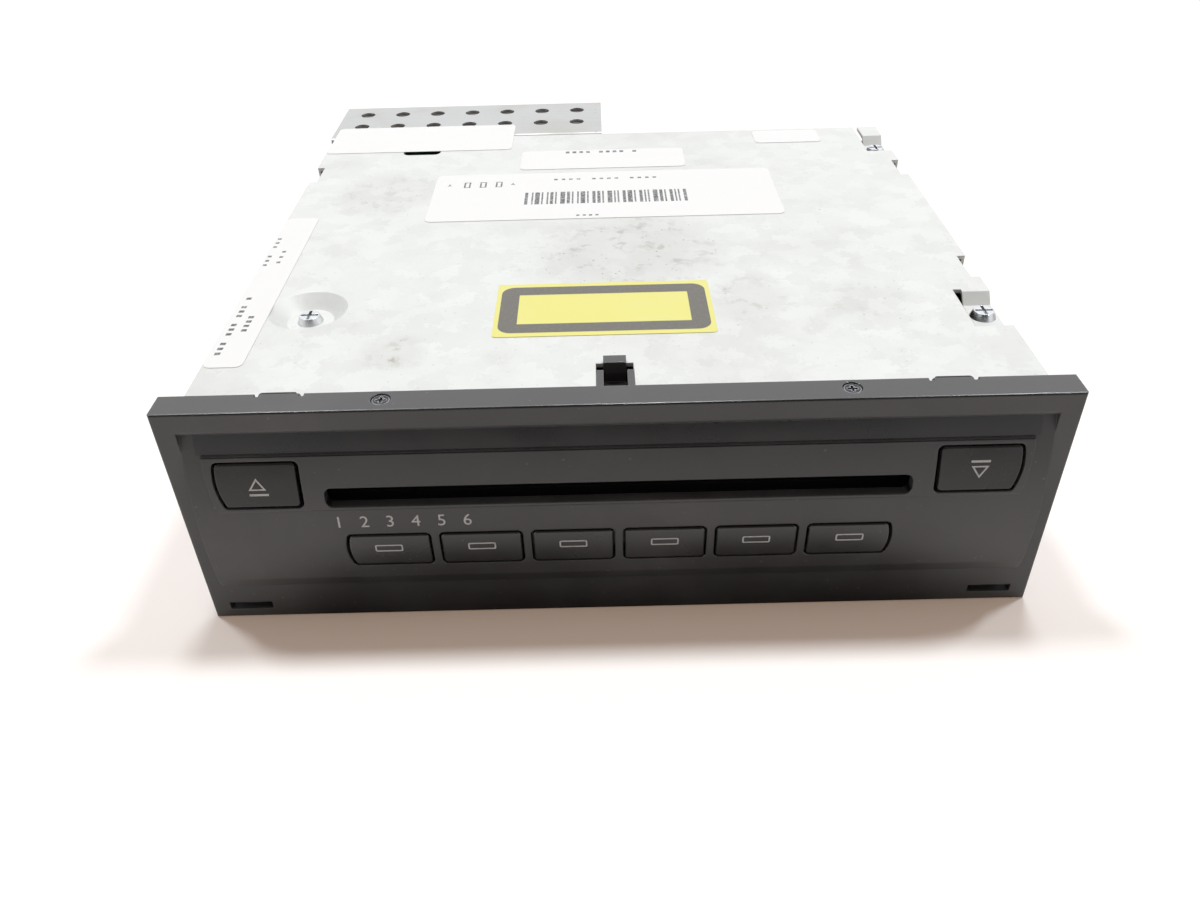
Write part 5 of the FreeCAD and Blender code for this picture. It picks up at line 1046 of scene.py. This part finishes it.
def board_material(name, colour, track):
    """Solder mask over a pattern of tracks."""
    material, tree, shader = new_material(name)
    edges = use_group(tree, "soft_edges", {"Radius": 0.0001})
    place = object_place(tree)
    settings = {"feature": "F1", "distance": "CHEBYCHEV"}
    tracks = put(tree, "ShaderNodeTexVoronoi", settings, {"Vector": place, "Scale": 420.0})
    lines = between(tree, tracks.outputs["Distance"], 0.42, 0.5)
    base = mix_colour(tree, lines, colour, track)
    normal = bump(tree, lines, edges.outputs["Normal"], 0.3, 0.00003)
    give_surface(tree, shader, base, 0.32, normal)
    return material


def ribbon_material():
    """Flat cable film over parallel conductors."""
    material, tree, shader = new_material("ribbon_film")
    place = object_place(tree)
    split = put(tree, "ShaderNodeSeparateXYZ", None, {"Vector": place})
    wave = math_node(tree, "SINE", math_node(tree, "MULTIPLY", split.outputs["Z"], math.tau / RIBBON_PITCH))
    lines = between(tree, wave, 0.2, 0.7)
    edges = use_group(tree, "soft_edges", {"Radius": 0.00008})
    base = mix_colour(tree, lines, RIBBON_COLOUR, RIBBON_LINE)
    give_surface(tree, shader, base, 0.35, edges.outputs["Normal"])
    return material


dress(board_material("circuit_board", BOARD_COLOUR, BOARD_TRACK), "main_board")
dress(board_material("switch_board", MASK_BLACK, MASK_TRACK), "switch_board")
dress(moulded_plastic("package_plastic", PACKAGE_COLOUR, BLACK_WORN, 0.55, 0.1), "board_parts")
dress(ribbon_material(), "ribbon_cable")

# Rear sockets.
# The power socket is black plastic and the optical one dark grey. Both are soldered to the
# main board and stand out through the rear wall.
SOCKET_BLACK = (0.04, 0.04, 0.04, 1.0)
SOCKET_GREY = (0.24, 0.24, 0.245, 1.0)
SOCKET_GREY_WORN = (0.34, 0.34, 0.345, 1.0)
dress(moulded_plastic("socket_black", SOCKET_BLACK, BLACK_WORN, 0.45), "power_socket")
dress(moulded_plastic("socket_grey", SOCKET_GREY, SOCKET_GREY_WORN, 0.45), "optical_socket")

# Floor.
# A pale matt studio floor just under the fascia's lower edge. Its faint glow keeps the shadow
# warm. For bounced light it has a painted shadow close to the object, and is dark again far away.
FLOOR_COLOUR = (0.89, 0.90, 0.92, 1.0)
FLOOR_GLOW = (0.095, 0.047, 0.016, 1.0)
FLOOR_SHADOW_BOUNCE = (0.028, 0.018, 0.013, 1.0)
FLOOR_FAR = (0.95, 0.94, 0.93, 1.0)
FLOOR_EDGE = (0.050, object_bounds()[1].y, 1.0)
FLOOR_FADE = (0.013, 0.036)
FLOOR_DARK = (0.06, 0.058, 0.055, 1.0)
FLOOR_END = (0.26, 0.60)
FLOOR_HALF = 4.0
FLOOR_GAP = 0.00005


def floor_material():
    """Pale diffuse floor with a faint warm glow for the camera; for bounced light it has a painted shadow
    near the object and is darker far away.
    """
    material = bpy.data.materials.new("studio_floor")
    material.use_nodes = True
    tree = material.node_tree
    tree.nodes.clear()
    rays = tree.nodes.new("ShaderNodeLightPath")
    seen = put(tree, "ShaderNodeBsdfDiffuse", None, {"Color": FLOOR_COLOUR})
    glow = put(tree, "ShaderNodeEmission", None, {"Color": FLOOR_GLOW, "Strength": 1.0})
    both = tree.nodes.new("ShaderNodeAddShader")
    tree.links.new(seen.outputs[0], both.inputs[0])
    tree.links.new(glow.outputs[0], both.inputs[1])
    place = object_place(tree)
    past = vector_node(tree, "ABSOLUTE", place).outputs[0]
    past = vector_node(tree, "SUBTRACT", past, FLOOR_EDGE).outputs[0]
    past = vector_node(tree, "MAXIMUM", past, (0.0, 0.0, 0.0)).outputs[0]
    away = vector_node(tree, "LENGTH", past).outputs["Value"]
    far = between(tree, away, *FLOOR_FADE)
    # Close to the object, bounced light finds a painted shadow on the floor.
    shade = mix_colour(tree, far, FLOOR_SHADOW_BOUNCE, FLOOR_FAR)
    shade = mix_colour(tree, between(tree, away, *FLOOR_END), shade, FLOOR_DARK)
    bounce = put(tree, "ShaderNodeBsdfDiffuse", None, {"Color": shade})
    mixed = tree.nodes.new("ShaderNodeMixShader")
    tree.links.new(rays.outputs["Is Camera Ray"], mixed.inputs[0])
    tree.links.new(bounce.outputs[0], mixed.inputs[1])
    tree.links.new(both.outputs[0], mixed.inputs[2])
    output = tree.nodes.new("ShaderNodeOutputMaterial")
    tree.links.new(mixed.outputs[0], output.inputs["Surface"])
    return material


floor_mesh = bpy.data.meshes.new("studio_floor")
floor_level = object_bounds()[0].z - FLOOR_GAP
floor_outline = rectangle(-FLOOR_HALF, -FLOOR_HALF, FLOOR_HALF, FLOOR_HALF)
corners = [(x, y, floor_level) for x, y in floor_outline]
floor_mesh.from_pydata(corners, [], [(0, 1, 2, 3)])
floor_mesh.materials.append(floor_material())
floor = bpy.data.objects.new("studio_floor", floor_mesh)
bpy.context.scene.collection.objects.link(floor)

# Light.
# A row of three lamps high behind the object, and a soft surround that is brightest
# overhead. Gloss reflects a white surround that is dark in front, above the horizon.
SUN_SIDES = (-0.32, 0.05, 0.44)
SUN_BACK = 0.25
SUN_HEIGHT = 0.95
SUN_ANGLE = math.radians(8.0)
SUN_STRENGTH = 0.93
SUN_COLOUR = (0.98, 1.0, 1.0)
SKY_LOW = (0.10, 0.095, 0.09, 1.0)
SKY_HIGH = (0.54, 0.46, 0.41, 1.0)
SKY_HIGH_AXIS = (0.0, -0.30, 0.954)
SKY_GLOSS = (1.40, 1.43, 1.48, 1.0)
SKY_DARK = (0.06, 0.06, 0.06, 1.0)
SKY_TOP = (0.65, 0.65, 0.65, 1.0)
SKY_DARK_AXIS = (0.0, -0.78, 0.625)
SKY_HIGH_SPAN = (0.25, 0.95)
SKY_TOP_SPAN = (0.70, 0.92)
SKY_DARK_SPAN = (0.66, 0.86)
WHITE = (1.0, 1.0, 1.0, 1.0)
for number, side in enumerate(SUN_SIDES, 1):
    sun_data = bpy.data.lights.new(f"key_lamp_{number}", "SUN")
    sun_data.energy = SUN_STRENGTH
    sun_data.angle = SUN_ANGLE
    sun_data.color = SUN_COLOUR
    sun = bpy.data.objects.new(f"key_lamp_{number}", sun_data)
    bpy.context.scene.collection.objects.link(sun)
    sun.rotation_euler = Vector((side, SUN_BACK, SUN_HEIGHT)).to_track_quat("Z", "Y").to_euler()


def make_world():
    """White to the camera, and a soft gradient for the light it gives."""
    world = bpy.data.worlds.new("studio_surround")
    bpy.context.scene.world = world
    world.use_nodes = True
    tree = world.node_tree
    tree.nodes.clear()
    way = tree.nodes.new("ShaderNodeTexCoord").outputs["Generated"]
    along = vector_node(tree, "DOT_PRODUCT", way, SKY_HIGH_AXIS).outputs["Value"]
    soft = mix_colour(tree, between(tree, along, *SKY_HIGH_SPAN), SKY_LOW, SKY_HIGH)
    rays = tree.nodes.new("ShaderNodeLightPath")
    height = put(tree, "ShaderNodeSeparateXYZ", None, {"Vector": way}).outputs["Z"]
    shine = mix_colour(tree, between(tree, height, *SKY_TOP_SPAN), SKY_GLOSS, SKY_TOP)
    along = vector_node(tree, "DOT_PRODUCT", way, SKY_DARK_AXIS).outputs["Value"]
    shine = mix_colour(tree, between(tree, along, *SKY_DARK_SPAN), shine, SKY_DARK)
    soft = mix_colour(tree, rays.outputs["Is Glossy Ray"], soft, shine)
    colour = mix_colour(tree, rays.outputs["Is Camera Ray"], soft, WHITE)
    ground = put(tree, "ShaderNodeBackground", None, {"Color": colour, "Strength": 1.0})
    output = tree.nodes.new("ShaderNodeOutputWorld")
    tree.links.new(ground.outputs[0], output.inputs["Surface"])


make_world()

# Camera.
# It looks down on the front and the top, as a person looks at a unit on a table.
CAMERA_PLACE = (-0.00285, -0.26452, 0.16771)
CAMERA_TURN = (53.3827, 1.2457, -0.6575)
CAMERA_LENS = 29.86
camera_data = bpy.data.cameras.new("camera")
camera_data.lens = CAMERA_LENS
camera_data.clip_start = 0.01
camera = bpy.data.objects.new("camera", camera_data)
bpy.context.scene.collection.objects.link(camera)
camera.location = CAMERA_PLACE
camera.rotation_euler = Euler([math.radians(angle) for angle in CAMERA_TURN])
bpy.context.scene.camera = camera
bpy.context.scene.view_settings.view_transform = "Standard"
